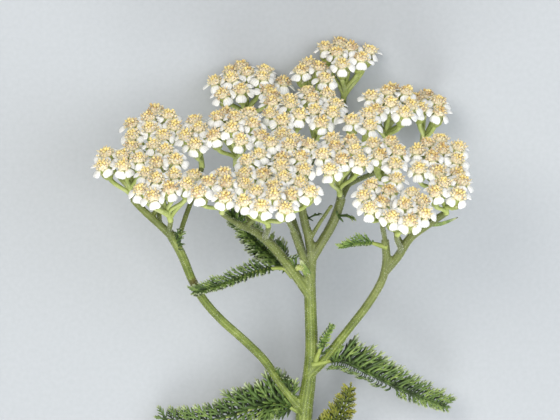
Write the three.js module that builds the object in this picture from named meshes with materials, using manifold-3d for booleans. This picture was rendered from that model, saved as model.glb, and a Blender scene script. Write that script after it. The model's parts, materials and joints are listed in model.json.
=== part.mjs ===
// Yarrow (Achillea): one flowering stem as cut, lying on a surface.
//
// Units are millimetres and +Z is up. The stem runs along +Y with its flat-topped head at the far end. It rests
// on three low places: the cut end of the stem and the backs of two outer sprays. The stem rises from its cut
// end at the angle LEAN, and the side of the head that was lowest lies on the surface.
//
// The green skeleton is one solid, and each spray of flower heads is one, from its stalk to the rays. Every head
// has five broad rays round a domed disc, over a green cup on a thin pedicel. Leaves are comb cut blades.
// Neighbouring solids keep GAP between them.
import * as THREE from 'three';
import { mergeVertices } from 'three/addons/utils/BufferGeometryUtils.js';
import Module from 'manifold-3d';

const wasm = await Module();
wasm.setup();

// ---- Driving dimensions ---------------------------------------------------------------------------------------

const LEAN = THREE.MathUtils.degToRad(28);    // rise of the stem above the surface
const GAP = 0.3;                              // clearance between neighbouring solids
const ORIGIN = new THREE.Vector3(0.1, 47, 0); // middle of the plant's outline, as seen from above

const DISC_RADIUS = 1.5;                      // yellow centre of a flower head
const DISC_HEIGHT = 1.7;
const RAY_REACH = 3.35;                       // from the head's axis to the tip of a ray
const RAY_HALF_WIDTH = 1.35;
const RAY_KEEL = 0.6;                         // depth of a ray's keel under its blade
const RAY_DROOP = 1.1;
const RAYS = 5;
const CUP_LENGTH = 4.1;                       // green cup under the head
const CUP_RADIUS = 1.5;
const PEDICEL_RADIUS = 0.4;
const STALK_RADIUS = 0.8;
const LOWEST_PEDICEL = 0.08;                  // where pedicels leave a spray's stalk, as shares of its length
const HIGHEST_PEDICEL = 0.52;
const SAME_SPRAY_SPACING = 4.7;               // least distance between heads of one spray
const OTHER_SPRAY_SPACING = 5.7;              // and between heads of two sprays
const SPACING_PASSES = 14;
const GOLDEN_ANGLE = THREE.MathUtils.degToRad(137.508);
const PRESS = 0.3;                            // depth to which the surface flattens a cup that lies on it
const BLADE_THICKNESS = 0.6;
const LEAF_RIB = 0.42;                        // half width of a leaf's rib at its root
const WELDS = [0.2, 0.12, 0.08, 0.05, 0.03, 0.015, 0.006];

const PLANT_AXIS = new THREE.Vector3(0, Math.cos(LEAN), Math.sin(LEAN));
const PLANT_FRONT = new THREE.Vector3(0, -Math.sin(LEAN), Math.cos(LEAN));
const PLANT_SIDE = new THREE.Vector3(1, 0, 0);
const SPRAY_FORWARD_TILT = 0.12;              // every spray leans a little to the front
const SPRAY_OUTWARD_TILT = 0.0042;            // and outwards, per millimetre from the plant's axis
const HEAD_OUTWARD_TILT = 0.042;              // a head leans outwards, per millimetre from its spray's middle
const SPRAY_DOME = 0.03;                      // drop of a spray's outer heads, times distance squared

// ---- The plant's plan: limbs, sprays and leaves ---------------------------------------------------------------

// Each limb is a list of [x, y, z, radius] from its root to its tip.
const LIMBS = {
  main: [[5.2, -3, 1.45, 2.1], [5.6, 5, 5.9, 2.05], [6.6, 12, 9.7, 1.75], [7.3, 20.2, 14, 1.55],
    [6.9, 37, 23, 1.45], [7.3, 44.6, 27.2, 1.25]],
  far_left: [[4.8, 5.5, 6.2, 1.3], [2.2, 8.6, 8.4, 1.2], [-0.8, 12.6, 11.4, 1.1], [-4.6, 18, 15.6, 1.05],
    [-9.5, 22.9, 19.6, 1.05], [-14.9, 27.8, 23.6, 1.05], [-19.2, 32.7, 27.4, 1.05], [-22, 37.6, 31, 1.05],
    [-24.6, 44, 35.6, 1.1], [-27.6, 49.6, 40, 1.15]],
  left_fork: [[-27.4, 49, 39.6, 1.05], [-30, 51.4, 41, 0.95], [-33.6, 54.6, 40.8, 0.9], [-36.6, 57.6, 39.4, 0.85]],
  far_right: [[7, 14.4, 11.2, 1.3], [9.9, 17.1, 13.5, 1.2], [12.6, 20.6, 16.4, 1.1], [16.5, 25.6, 20.6, 1.05],
    [21.4, 32.1, 26, 1.05], [24.7, 38, 31, 1.05], [25.6, 42.6, 35.4, 1.05], [25.2, 47.6, 41, 1.0]],
  right_fork: [[25, 39.4, 32.4, 1.05], [28.4, 43.6, 36.6, 1.1], [31.4, 48.2, 40.6, 1.05], [35.4, 51.2, 44.2, 0.95],
    [40, 54.4, 48.4, 0.85]],
  near_left: [[6.8, 34, 21.4, 1.3], [2.5, 40.2, 26.6, 1.25], [-1.9, 45.7, 32.6, 1.15], [-6.2, 49.5, 39, 1.0],
    [-10.8, 51.6, 46.8, 0.85]],
  middle: [[7.3, 43, 26.4, 1.2], [6.6, 48, 29.4, 1.1], [5.5, 52.4, 32.4, 1.05], [4.6, 57, 35.4, 1.0]],
  middle_left: [[7, 38, 23.6, 1.0], [5.4, 42.6, 27.8, 0.95], [3.9, 46.8, 34, 0.9], [2.8, 49.8, 42, 0.85]],
  right: [[7.3, 43, 26.4, 1.25], [9.6, 46.8, 28.6, 1.2], [12.7, 52.2, 31.4, 1.15], [14.7, 58, 34.4, 1.1]],
  back_left: [[6.9, 36, 22.4, 1.1], [4.6, 46, 22.6, 1.0], [0.6, 58, 17, 0.9], [-4.2, 68, 9.6, 0.85]],
  back_right: [[10.4, 48, 29, 1.1], [13.6, 55, 27.4, 1.0], [15.6, 65, 20.6, 0.95], [17, 73, 12.4, 0.9]],
};

// Each spray: [name, limb, place along the limb, number of heads, middle x, y, z, half width, half depth, turn,
// stalk length]. Its heads fill an ellipse, half width across the plant and half depth along its front.
const SPRAYS = [
  ['tip_left', 'left_fork', 0.9, 6, -38.8, 68, 42.6, 5.6, 5.2, 0.2, 12.5],
  ['inner_left', 'left_fork', 0.5, 4, -30.2, 68, 46, 3.2, 4.2, 1.1, 12.5],
  ['back_far_left', 'left_fork', 0.3, 8, -31.6, 76.2, 30.6, 4.8, 6.4, 2.0, 12.5],
  ['mid_far_left', 'far_left', 0.93, 4, -20.6, 73.8, 35.4, 2.6, 3.4, 0.7, 10],
  ['front_far_left', 'far_left', 1, 8, -28.6, 62, 56, 7.8, 4.6, 2.6, 12.5],
  ['front_left', 'near_left', 1, 6, -15.2, 61, 60.4, 6.0, 3.8, 0.4, 8.8],
  ['mid_left', 'near_left', 0.8, 9, -12, 76.2, 35.6, 8.2, 7.0, 1.5, 12.5],
  ['centre_left', 'near_left', 0.9, 5, -3, 66, 51.4, 4.4, 4.0, 0.1, 12.5],
  ['front_centre', 'near_left', 0.62, 5, -3.4, 58.2, 65, 5.4, 5.4, 2.2, 9.5],
  ['centre_front', 'middle_left', 1, 5, 1.2, 60.6, 60.6, 4.4, 4.8, 0.9, 9.5],
  ['centre', 'middle', 1, 7, 1.8, 69.2, 47.2, 5.2, 7.6, 1.9, 12.5],
  ['top_centre_left', 'middle', 0.9, 8, 1.2, 80.4, 27.4, 4.8, 8.2, 0.3, 12.5],
  ['top_centre_right', 'middle', 0.95, 7, 8.6, 81.2, 25.2, 4.6, 7.0, 2.8, 12.5],
  ['back_left', 'back_left', 1, 11, -9.4, 88.4, 8.9, 9.6, 9.2, 1.3, 12.5],
  ['back_centre', 'back_right', 0.8, 4, 8.0, 89.8, 9.0, 5.4, 3.8, 0.5, 12.5],
  ['top', 'back_right', 1, 7, 16.2, 94.2, 6.7, 5.8, 6.3, 1.0, 13.2],
  ['centre_right', 'right', 1, 8, 15, 69.4, 47.4, 4.8, 6.8, 2.4, 13.5],
  ['small_right', 'right', 0.92, 3, 19.8, 77.2, 32.6, 2.4, 3.4, 0.8, 12.5],
  ['mid_right', 'right_fork', 0.35, 5, 24.4, 69.4, 45.6, 3.8, 3.8, 1.7, 12.5],
  ['back_right', 'back_right', 0.6, 8, 27.2, 82.6, 17, 4.6, 7.0, 2.1, 13],
  ['back_far_right', 'back_right', 0.5, 5, 36.4, 81.4, 9.4, 3.4, 4.2, 0.6, 12.5],
  ['far_right', 'right_fork', 0.7, 10, 38.8, 68.8, 43, 6.4, 8.6, 1.2, 12.5],
  ['tip_right', 'right_fork', 1, 4, 41.4, 60.2, 55.8, 4.6, 2.8, 2.7, 8],
  ['front_right_inner', 'far_right', 1, 6, 25.4, 58.8, 61.6, 3.8, 5.4, 0.0, 9.5],
  ['front_right_outer', 'right_fork', 0.3, 6, 28.8, 55.6, 63.8, 4.0, 4.4, 1.6, 9],
];

// Each leaf has a centre line from the stem out, the direction that it faces, a number of leaflet pairs, the
// length of its longest leaflets on the left and right of the line, the share of the line that is bare stalk,
// how far the leaflets sweep to the tip, and how much their ends lift out of the leaf's plane.
const LEAVES = [
  { name: 'leaf_lower_right', line: [[9, 16.9, 14.2], [14.4, 17.6, 16.2], [21, 15, 15.6], [28, 12.1, 13.4],
    [35, 8.8, 10.6], [41.2, 6, 7.8]], face: [0.1, 0.2, 1], pairs: 17, left: 6.8, right: 4.4, bare: 0.15, sweep: 0.62,
  lift: 0.12 },
  { name: 'leaf_lower_left', line: [[4, 4.8, 6.4], [0, 6.6, 7.8], [-5, 6.2, 8.8], [-13, 3.6, 8.4], [-22, 1.8, 6.6],
    [-31, 3.2, 3.8]], face: [-0.1, 0.15, 1], pairs: 16, left: 6.2, right: 8.8, bare: 0.1, sweep: 0.72, lift: 0.1 },
  { name: 'leaf_foot', line: [[6.8, -1.9, 4.6], [10.6, -0.6, 6.8], [13.8, 2.6, 9], [15.9, 6.8, 11.2], [17, 11.2, 13]],
    face: [-0.2, -0.1, 1], pairs: 10, left: 6.2, right: 5.4, bare: 0.16, sweep: 0.62, lift: 0.12 },
  { name: 'leaf_middle', line: [[1.4, 40.6, 26.2], [-2.8, 40.6, 29.4], [-8.4, 39.2, 32.4], [-14, 37.0, 33.4],
    [-19.4, 35.2, 33.4], [-22.6, 34.4, 32.8]], face: [-0.2, 0.3, 1], pairs: 13, left: 3.0, right: 3.4, bare: 0.2,
  sweep: 0.66, lift: 0.15 },
  { name: 'leaf_middle_back', line: [[1.6, 39.6, 22.6], [-2, 43.2, 24.8], [-6, 47, 28.2], [-10, 51, 32.6],
    [-13.2, 55, 37.4]], face: [-0.2, 0.3, 1], pairs: 10, left: 6.4, right: 6.4, bare: 0.14, sweep: 0.5, lift: 0.05 },
  { name: 'leaf_upper_right', line: [[24.2, 46.3, 40.4], [21.8, 46.9, 40.8], [18, 46.6, 41], [14.2, 45.7, 40.8]],
    face: [0, 0.4, 1], pairs: 6, left: 2.0, right: 2.6, bare: 0.3, sweep: 0.7, lift: 0.15 },
  { name: 'leaf_axil', line: [[8.8, 18.7, 15], [10.3, 22.8, 18.8], [12.4, 26.8, 22.2]],
    face: [0.3, -0.3, 1], pairs: 6, left: 1.8, right: 1.8, bare: 0.15, sweep: 0.9, lift: 0.1 },
];

// Small undivided bracts that grow on the green skeleton: [root, tip, half width].
const BRACTS = [
  [[-26.2, 46.9, 38], [-24, 52.2, 42], 0.8],
  [[-25.4, 45.4, 36.9], [-22, 50.2, 40], 0.65],
  [[35.4, 51.2, 44.2], [44.4, 53.4, 46], 0.5],
  [[3.4, 39.2, 25.6], [1, 47.2, 33.4], 0.55],
  [[7, 38.4, 23.8], [4.4, 43, 29.6], 0.9],
  [[6.7, 47.4, 29], [10.6, 55.6, 37.4], 0.5],
  [[12.7, 52.2, 31.4], [19.4, 54.8, 38.4], 0.6],
  [[-1.2, 13, 11.8], [-1.6, 17.6, 16], 0.5],
  [[2, 8.8, 8.6], [0.4, 15.2, 14], 0.6],
  [[3.4, 7.2, 7.4], [3.2, 13.6, 13.2], 0.5],
];

// ---- Small helpers --------------------------------------------------------------------------------------------

const vec = (p) => new THREE.Vector3(p[0], p[1], p[2]);

// A repeatable draw from 0 to 1 for each pair of numbers.
function draw(a, b) {
  const s = Math.sin(a * 12.9898 + b * 78.233) * 43758.5453;
  return s - Math.floor(s);
}

// Two directions at right angles to axis, the first as near to across as it can be.
function crossFrame(axis, across = PLANT_SIDE) {
  const v = new THREE.Vector3().crossVectors(axis, across).normalize();
  const u = new THREE.Vector3().crossVectors(v, axis).normalize();
  return [u, v];
}

// A closed geometry as a solid that can be joined and cut.
function solidOf(geometry) {
  const bare = geometry.clone();
  bare.deleteAttribute('normal');
  bare.deleteAttribute('uv');
  const merged = mergeVertices(bare, 1e-5);
  const mesh = new wasm.Mesh({
    numProp: 3,
    vertProperties: new Float32Array(merged.attributes.position.array),
    triVerts: new Uint32Array(merged.index.array),
  });
  return new wasm.Manifold(mesh);
}

function geometryFrom(points, faces) {
  const geometry = new THREE.BufferGeometry().setFromPoints(points);
  geometry.setIndex(faces.flat());
  return geometry;
}

// For each point, the number of the first point that lies within reach of it, by way of others if need be.
function weldPoints(points, reach) {
  const home = points.map((_, i) => i);
  const find = (i) => (home[i] === i ? i : (home[i] = find(home[i])));
  const order = [...home].sort((i, j) => points[i].x - points[j].x);
  order.forEach((i, place) => {
    for (let k = place + 1; k < order.length && points[order[k]].x - points[i].x <= reach; k++) {
      if (points[order[k]].distanceTo(points[i]) <= reach) {
        const [p, q] = [find(i), find(order[k])];
        home[Math.max(p, q)] = Math.min(p, q);
      }
    }
  });
  return points.map((_, i) => find(i));
}

// Whether every edge of a list of triangles runs once each way.
function closes(faces) {
  const seen = new Set();
  for (const [a, b, c] of faces) {
    for (const edge of [`${a} ${b}`, `${b} ${c}`, `${c} ${a}`]) {
      if (seen.has(edge)) return false;
      seen.add(edge);
    }
  }
  return [...seen].every((edge) => seen.has(edge.split(' ').reverse().join(' ')));
}

// The same solid with corners that nearly meet made one, by the widest weld that leaves it closed.
function welded(solid) {
  const { vertProperties, triVerts, numProp } = solid.getMesh();
  const points = [];
  for (let i = 0; i < vertProperties.length; i += numProp) {
    points.push(new THREE.Vector3(vertProperties[i], vertProperties[i + 1], vertProperties[i + 2]));
  }
  for (const reach of WELDS) {
    const home = weldPoints(points, reach);
    const kept = new Map();
    for (let i = 0; i < triVerts.length; i += 3) {
      const face = [home[triVerts[i]], home[triVerts[i + 1]], home[triVerts[i + 2]]];
      if (new Set(face).size < 3) continue;
      const key = [...face].sort((a, b) => a - b).join();
      if (kept.has(key)) kept.delete(key);
      else kept.set(key, face);
    }
    const faces = [...kept.values()];
    if (!closes(faces)) continue;
    const result = solidOf(geometryFrom(points, faces));
    if (result.decompose().length === 1 && Math.abs(result.volume() / solid.volume() - 1) < 0.01) return result;
  }
  return solid;
}

// The largest of a solid's separate bodies.
function largestBody(solid) {
  const bodies = solid.decompose();
  return bodies.reduce((a, b) => (b.volume() > a.volume() ? b : a));
}

function join(solids) {
  return wasm.Manifold.union(solids);
}

// A closed tube through rings of points. Each ring is { at, axis, radius }.
function ringTube(rings, sides, ridge = 0) {
  const points = [];
  const faces = [];
  let across = PLANT_SIDE;
  rings.forEach(({ at, axis, radius }) => {
    const [u, v] = crossFrame(axis, across);
    across = u;
    for (let i = 0; i < sides; i++) {
      const angle = (2 * Math.PI * i) / sides;
      const r = radius * (1 + (i % 2 ? ridge : -ridge));
      points.push(at.clone().addScaledVector(u, r * Math.cos(angle)).addScaledVector(v, r * Math.sin(angle)));
    }
  });
  const last = (rings.length - 1) * sides;
  for (let k = 0; k < rings.length - 1; k++) {
    for (let i = 0; i < sides; i++) {
      const a = k * sides + i;
      const b = k * sides + ((i + 1) % sides);
      faces.push([a, a + sides, b], [b, a + sides, b + sides]);
    }
  }
  for (let i = 1; i < sides - 1; i++) {
    faces.push([0, i, i + 1], [last, last + i + 1, last + i]);
  }
  const solid = solidOf(geometryFrom(points, faces));
  return solid.volume() < 0 ? solidOf(geometryFrom(points, faces.map(([a, b, c]) => [a, c, b]))) : solid;
}

// A tapered tube along a smooth curve through points, with a radius at each point.
function taperedTube(points, radii, sides, steps, grow = 0, ridge = 0) {
  const curve = new THREE.CatmullRomCurve3(points, false, 'centripetal');
  const rings = [];
  for (let k = 0; k <= steps; k++) {
    const t = k / steps;
    const place = t * (radii.length - 1);
    const i = Math.min(Math.floor(place), radii.length - 2);
    rings.push({
      at: curve.getPoint(t),
      axis: curve.getTangent(t),
      radius: THREE.MathUtils.lerp(radii[i], radii[i + 1], place - i) + grow,
    });
  }
  return ringTube(rings, sides, ridge);
}

// ---- Places of the flower heads -------------------------------------------------------------------------------

// Distance of a point from the plant's axis, as parts across the plant and along its front.
function offAxis(p) {
  return { side: p.x, front: p.dot(PLANT_FRONT) };
}

function makeSpray([name, limb, along, count, x, y, z, halfWidth, halfDepth, turn, stalkLength], index) {
  const middle = new THREE.Vector3(x, y, z);
  const { side, front } = offAxis(middle);
  const axis = PLANT_AXIS.clone()
    .addScaledVector(PLANT_SIDE, SPRAY_OUTWARD_TILT * side)
    .addScaledVector(PLANT_FRONT, SPRAY_FORWARD_TILT + SPRAY_OUTWARD_TILT * front)
    .normalize();
  const [u, v] = crossFrame(axis);
  const heads = [];
  for (let i = 0; i < count; i++) {
    const spread = Math.sqrt((i + 0.5) / count);
    const angle = i * GOLDEN_ANGLE + turn;
    const a = halfWidth * spread * Math.cos(angle) + 0.5 * (draw(index, i) - 0.5);
    const b = halfDepth * spread * Math.sin(angle) + 0.5 * (draw(index, i + 50) - 0.5);
    const drop = SPRAY_DOME * (a * a + b * b) + 0.9 * (draw(index, i + 100) - 0.5);
    heads.push({
      at: middle.clone().addScaledVector(u, a).addScaledVector(v, b).addScaledVector(axis, -drop),
      spray: index,
      number: i,
    });
  }
  const hub = middle.clone().addScaledVector(axis, -stalkLength);
  return { name, index, limb, along, middle, axis, hub, heads };
}

// Heads that stand too close are pushed apart, square to the plant's axis.
function spaceHeads(heads) {
  for (let pass = 0; pass < SPACING_PASSES; pass++) {
    for (let i = 0; i < heads.length; i++) {
      for (let j = i + 1; j < heads.length; j++) {
        const a = heads[i];
        const b = heads[j];
        const least = a.spray === b.spray ? SAME_SPRAY_SPACING : OTHER_SPRAY_SPACING;
        const away = b.at.clone().sub(a.at);
        const distance = away.length();
        if (distance < least) {
          away.addScaledVector(PLANT_AXIS, -away.dot(PLANT_AXIS)).normalize();
          a.at.addScaledVector(away, -0.35 * (least - distance));
          b.at.addScaledVector(away, 0.35 * (least - distance));
        }
      }
    }
  }
}

// A head that would sink into the surface is lifted until only its cup is pressed flat there.
function settle(head) {
  const level = Math.sqrt(1 - head.axis.z ** 2);
  const belly = head.at.z - 0.42 * CUP_LENGTH * head.axis.z - CUP_RADIUS * level + PRESS;
  const foot = head.at.z - CUP_LENGTH * head.axis.z - 1.2 * PEDICEL_RADIUS * level;
  head.at.z -= Math.min(belly, foot, 0);
}

// A head leans outwards from its spray's middle.
function aimHeads(spray) {
  spray.heads.forEach((head) => {
    const out = head.at.clone().sub(spray.middle);
    out.addScaledVector(spray.axis, -out.dot(spray.axis));
    head.axis = spray.axis.clone().addScaledVector(out, HEAD_OUTWARD_TILT).normalize();
    settle(head);
  });
}

// ---- Flower heads ---------------------------------------------------------------------------------------------

// The directions and lengths of a head's rays, turned so that they find the most room between their neighbours.
function raysOf(head, heads) {
  const near = heads.filter((other) => other !== head && other.at.distanceTo(head.at) < 2 * RAY_REACH + GAP);
  const shift = draw(head.spray, head.number + 150);
  const tries = [0, 1, 2, 3, 4, 5].map((k) => raysFrom(head, near, (2 * Math.PI * (k + shift)) / (6 * RAYS)));
  const total = ({ rays }) => rays.reduce((sum, ray) => sum + ray.reach, 0);
  return tries.reduce((a, b) => (total(b) > total(a) ? b : a));
}

// Rays from a first direction on. Each shares the room with the next head.
function raysFrom(head, near, first) {
  const [u, v] = crossFrame(head.axis);
  const rays = [];
  for (let k = 0; k < RAYS; k++) {
    const angle = first + (2 * Math.PI * k) / RAYS;
    let reach = RAY_REACH * (0.94 + 0.1 * draw(head.spray * 31 + head.number, k));
    near.forEach((other) => {
      const d = other.at.clone().sub(head.at);
      const bearing = Math.atan2(d.dot(v), d.dot(u));
      const turn = Math.abs(Math.atan2(Math.sin(angle - bearing), Math.cos(angle - bearing)));
      if (turn > 1.0 || Math.abs(d.dot(head.axis)) > 3.2) return;
      const gap = other.spray === head.spray ? 0 : GAP;
      const room = (Math.hypot(d.dot(u), d.dot(v)) - gap) / 2 - 0.8 * RAY_HALF_WIDTH * Math.sin(turn);
      reach = Math.min(reach, Math.max(room / Math.cos(turn), DISC_RADIUS + 0.7));
    });
    rays.push({ angle, reach, droop: RAY_DROOP * (0.7 + 0.6 * draw(head.spray * 17 + head.number, k + 10)) });
  }
  return { u, v, rays };
}

// Triangles between two rings of points that run the same way round, given as lists of indices.
function stitch(faces, upper, lower) {
  let i = 0;
  let j = 0;
  while (i < upper.length || j < lower.length) {
    const a = upper[i % upper.length];
    const b = lower[j % lower.length];
    if ((i + 1) / upper.length <= (j + 1) / lower.length && i < upper.length) {
      faces.push([a, b, upper[(i + 1) % upper.length]]);
      i += 1;
    } else {
      faces.push([a, b, lower[(j + 1) % lower.length]]);
      j += 1;
    }
  }
}

// One head as a closed solid from the tips of its rays down to the root of its pedicel: five keeled rays round a
// low pyramid of a disc, a cup under them that is widest below its rim, and the pedicel.
function flowerHead(head, spray, heads) {
  const { u, v, rays } = raysOf(head, heads);
  const points = [];
  const add = (p) => points.push(p) - 1;
  const at = (radius, angle, up) => add(head.at.clone()
    .addScaledVector(u, radius * Math.cos(angle))
    .addScaledVector(v, radius * Math.sin(angle))
    .addScaledVector(head.axis, up));
  const step = (2 * Math.PI) / RAYS;
  const petals = rays.map(({ angle, reach, droop }) => {
    const half = Math.atan2(RAY_HALF_WIDTH, reach);
    const edge = Math.hypot(RAY_HALF_WIDTH, reach * 0.96);
    return {
      left: at(edge, angle - half, -droop),
      right: at(edge, angle + half, -droop),
      keel: at(reach * 0.8, angle, -droop * 0.8 - RAY_KEEL),
      base: at(DISC_RADIUS, angle, 0.6),
      notch: at(0.96 * DISC_RADIUS, angle + step / 2, 0),
      belly: at(CUP_RADIUS, angle + step / 2, -0.42 * CUP_LENGTH),
    };
  });
  const apex = at(0, 0, DISC_HEIGHT);
  const faces = [];
  petals.forEach(({ left, right, keel, base, notch }, k) => {
    const next = petals[(k + 1) % RAYS];
    const last = petals[(k + RAYS - 1) % RAYS];
    faces.push([left, right, base], [right, notch, base], [notch, next.base, base], [notch, next.left, next.base]);
    faces.push([base, next.base, apex]);
    faces.push([last.notch, keel, left], [right, left, keel], [notch, right, keel], [last.notch, notch, keel]);
  });
  const foot = head.at.clone().addScaledVector(head.axis, -CUP_LENGTH);
  const root = stalkPoint(spray, head.rise);
  const along = foot.clone().sub(root).normalize();
  const ring = (middle, axis, radius) => {
    const [p, q] = crossFrame(axis, u);
    return [0, 1, 2].map((m) => add(middle.clone()
      .addScaledVector(p, radius * Math.cos((2 * Math.PI * m) / 3 + rays[0].angle))
      .addScaledVector(q, radius * Math.sin((2 * Math.PI * m) / 3 + rays[0].angle))));
  };
  const neck = ring(foot, head.axis, 1.15 * PEDICEL_RADIUS);
  const end = ring(root, along, PEDICEL_RADIUS);
  const rim = petals.map((petal) => petal.notch);
  const belly = petals.map((petal) => petal.belly);
  stitch(faces, rim, belly);
  stitch(faces, belly, neck);
  stitch(faces, neck, end);
  faces.push([end[0], end[2], end[1]]);
  return solidOf(geometryFrom(points, faces));
}

// ---- Sprays ---------------------------------------------------------------------------------------------------

// The point on a spray's stalk at a share of the way from its hub to the foot of its first head.
function stalkPoint(spray, share) {
  const first = spray.heads[0];
  const low = spray.hub.clone().addScaledVector(spray.axis, GAP);
  return low.lerp(first.at.clone().addScaledVector(first.axis, -CUP_LENGTH), share);
}

// The outermost heads leave the stalk lowest, and the first head stands at its end.
function rootPedicels(spray) {
  const reach = (head) => new THREE.Vector3().crossVectors(head.at.clone().sub(spray.hub), spray.axis).length();
  const outerFirst = spray.heads.slice(1).sort((a, b) => reach(b) - reach(a));
  outerFirst.forEach((head, rank) => {
    head.rise = LOWEST_PEDICEL + (HIGHEST_PEDICEL - LOWEST_PEDICEL) * (rank / Math.max(1, outerFirst.length - 1));
  });
  spray.heads[0].rise = HIGHEST_PEDICEL;
}

// A spray's own stalk with all its flower heads.
function spraySolid(spray, heads) {
  rootPedicels(spray);
  const along = stalkPoint(spray, 1).sub(stalkPoint(spray, 0)).normalize();
  const stalk = ringTube([
    { at: stalkPoint(spray, 0), axis: spray.axis, radius: STALK_RADIUS },
    { at: stalkPoint(spray, HIGHEST_PEDICEL + 0.06), axis: along, radius: 0.7 * STALK_RADIUS },
  ], 4);
  return join([stalk, ...spray.heads.map((head) => flowerHead(head, spray, heads))]);
}

// ---- Skeleton -------------------------------------------------------------------------------------------------

function limbCurve(name) {
  return new THREE.CatmullRomCurve3(LIMBS[name].map(vec), false, 'centripetal');
}

// A twig from its limb to the hub of a spray. It leaves half along the limb and arrives half along the spray.
function twig(spray, grow) {
  const limb = limbCurve(spray.limb);
  const start = limb.getPoint(spray.along);
  const toward = spray.hub.clone().sub(start);
  const span = toward.length();
  const leave = limb.getTangent(spray.along).addScaledVector(toward, 1 / span).normalize();
  const arrive = spray.axis.clone().addScaledVector(toward, 1 / span).normalize();
  const curve = new THREE.CubicBezierCurve3(start, start.clone().addScaledVector(leave, 0.35 * span),
    spray.hub.clone().addScaledVector(arrive, -0.35 * span), spray.hub);
  const steps = Math.max(2, Math.round(span / 11));
  const rings = [];
  for (let k = 0; k <= steps; k++) {
    const t = k / steps;
    const axis = k < steps ? curve.getTangent(t) : spray.axis;
    rings.push({ at: curve.getPoint(t), axis, radius: STALK_RADIUS + 0.1 * (1 - t) + grow });
  }
  return ringTube(rings, 4);
}

// A pointed, slightly boat shaped bract.
function bract([root, tip, half], grow) {
  const from = vec(root);
  const to = vec(tip);
  const along = to.clone().sub(from);
  const bend = from.clone().addScaledVector(along, 0.45).addScaledVector(PLANT_FRONT, 0.12 * along.length());
  return ringTube([
    { at: from, axis: along.clone().normalize(), radius: 0.7 * half + grow },
    { at: bend, axis: along.clone().normalize(), radius: half + grow },
    { at: to, axis: along.clone().normalize(), radius: 0.12 + grow },
  ], 3);
}

function skeleton(sprays, grow = 0) {
  const limbs = Object.entries(LIMBS).map(([name, rows]) => taperedTube(
    rows.map(vec),
    rows.map((row) => row[3]),
    name === 'main' ? 8 : name.startsWith('back') ? 4 : 5,
    rows.length - 1,
    grow,
    name === 'main' ? 0.05 : 0,
  ));
  return join([...limbs, ...BRACTS.map((row) => bract(row, grow)), ...sprays.map((spray) => twig(spray, grow))]);
}

// ---- Leaves ---------------------------------------------------------------------------------------------------

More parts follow.
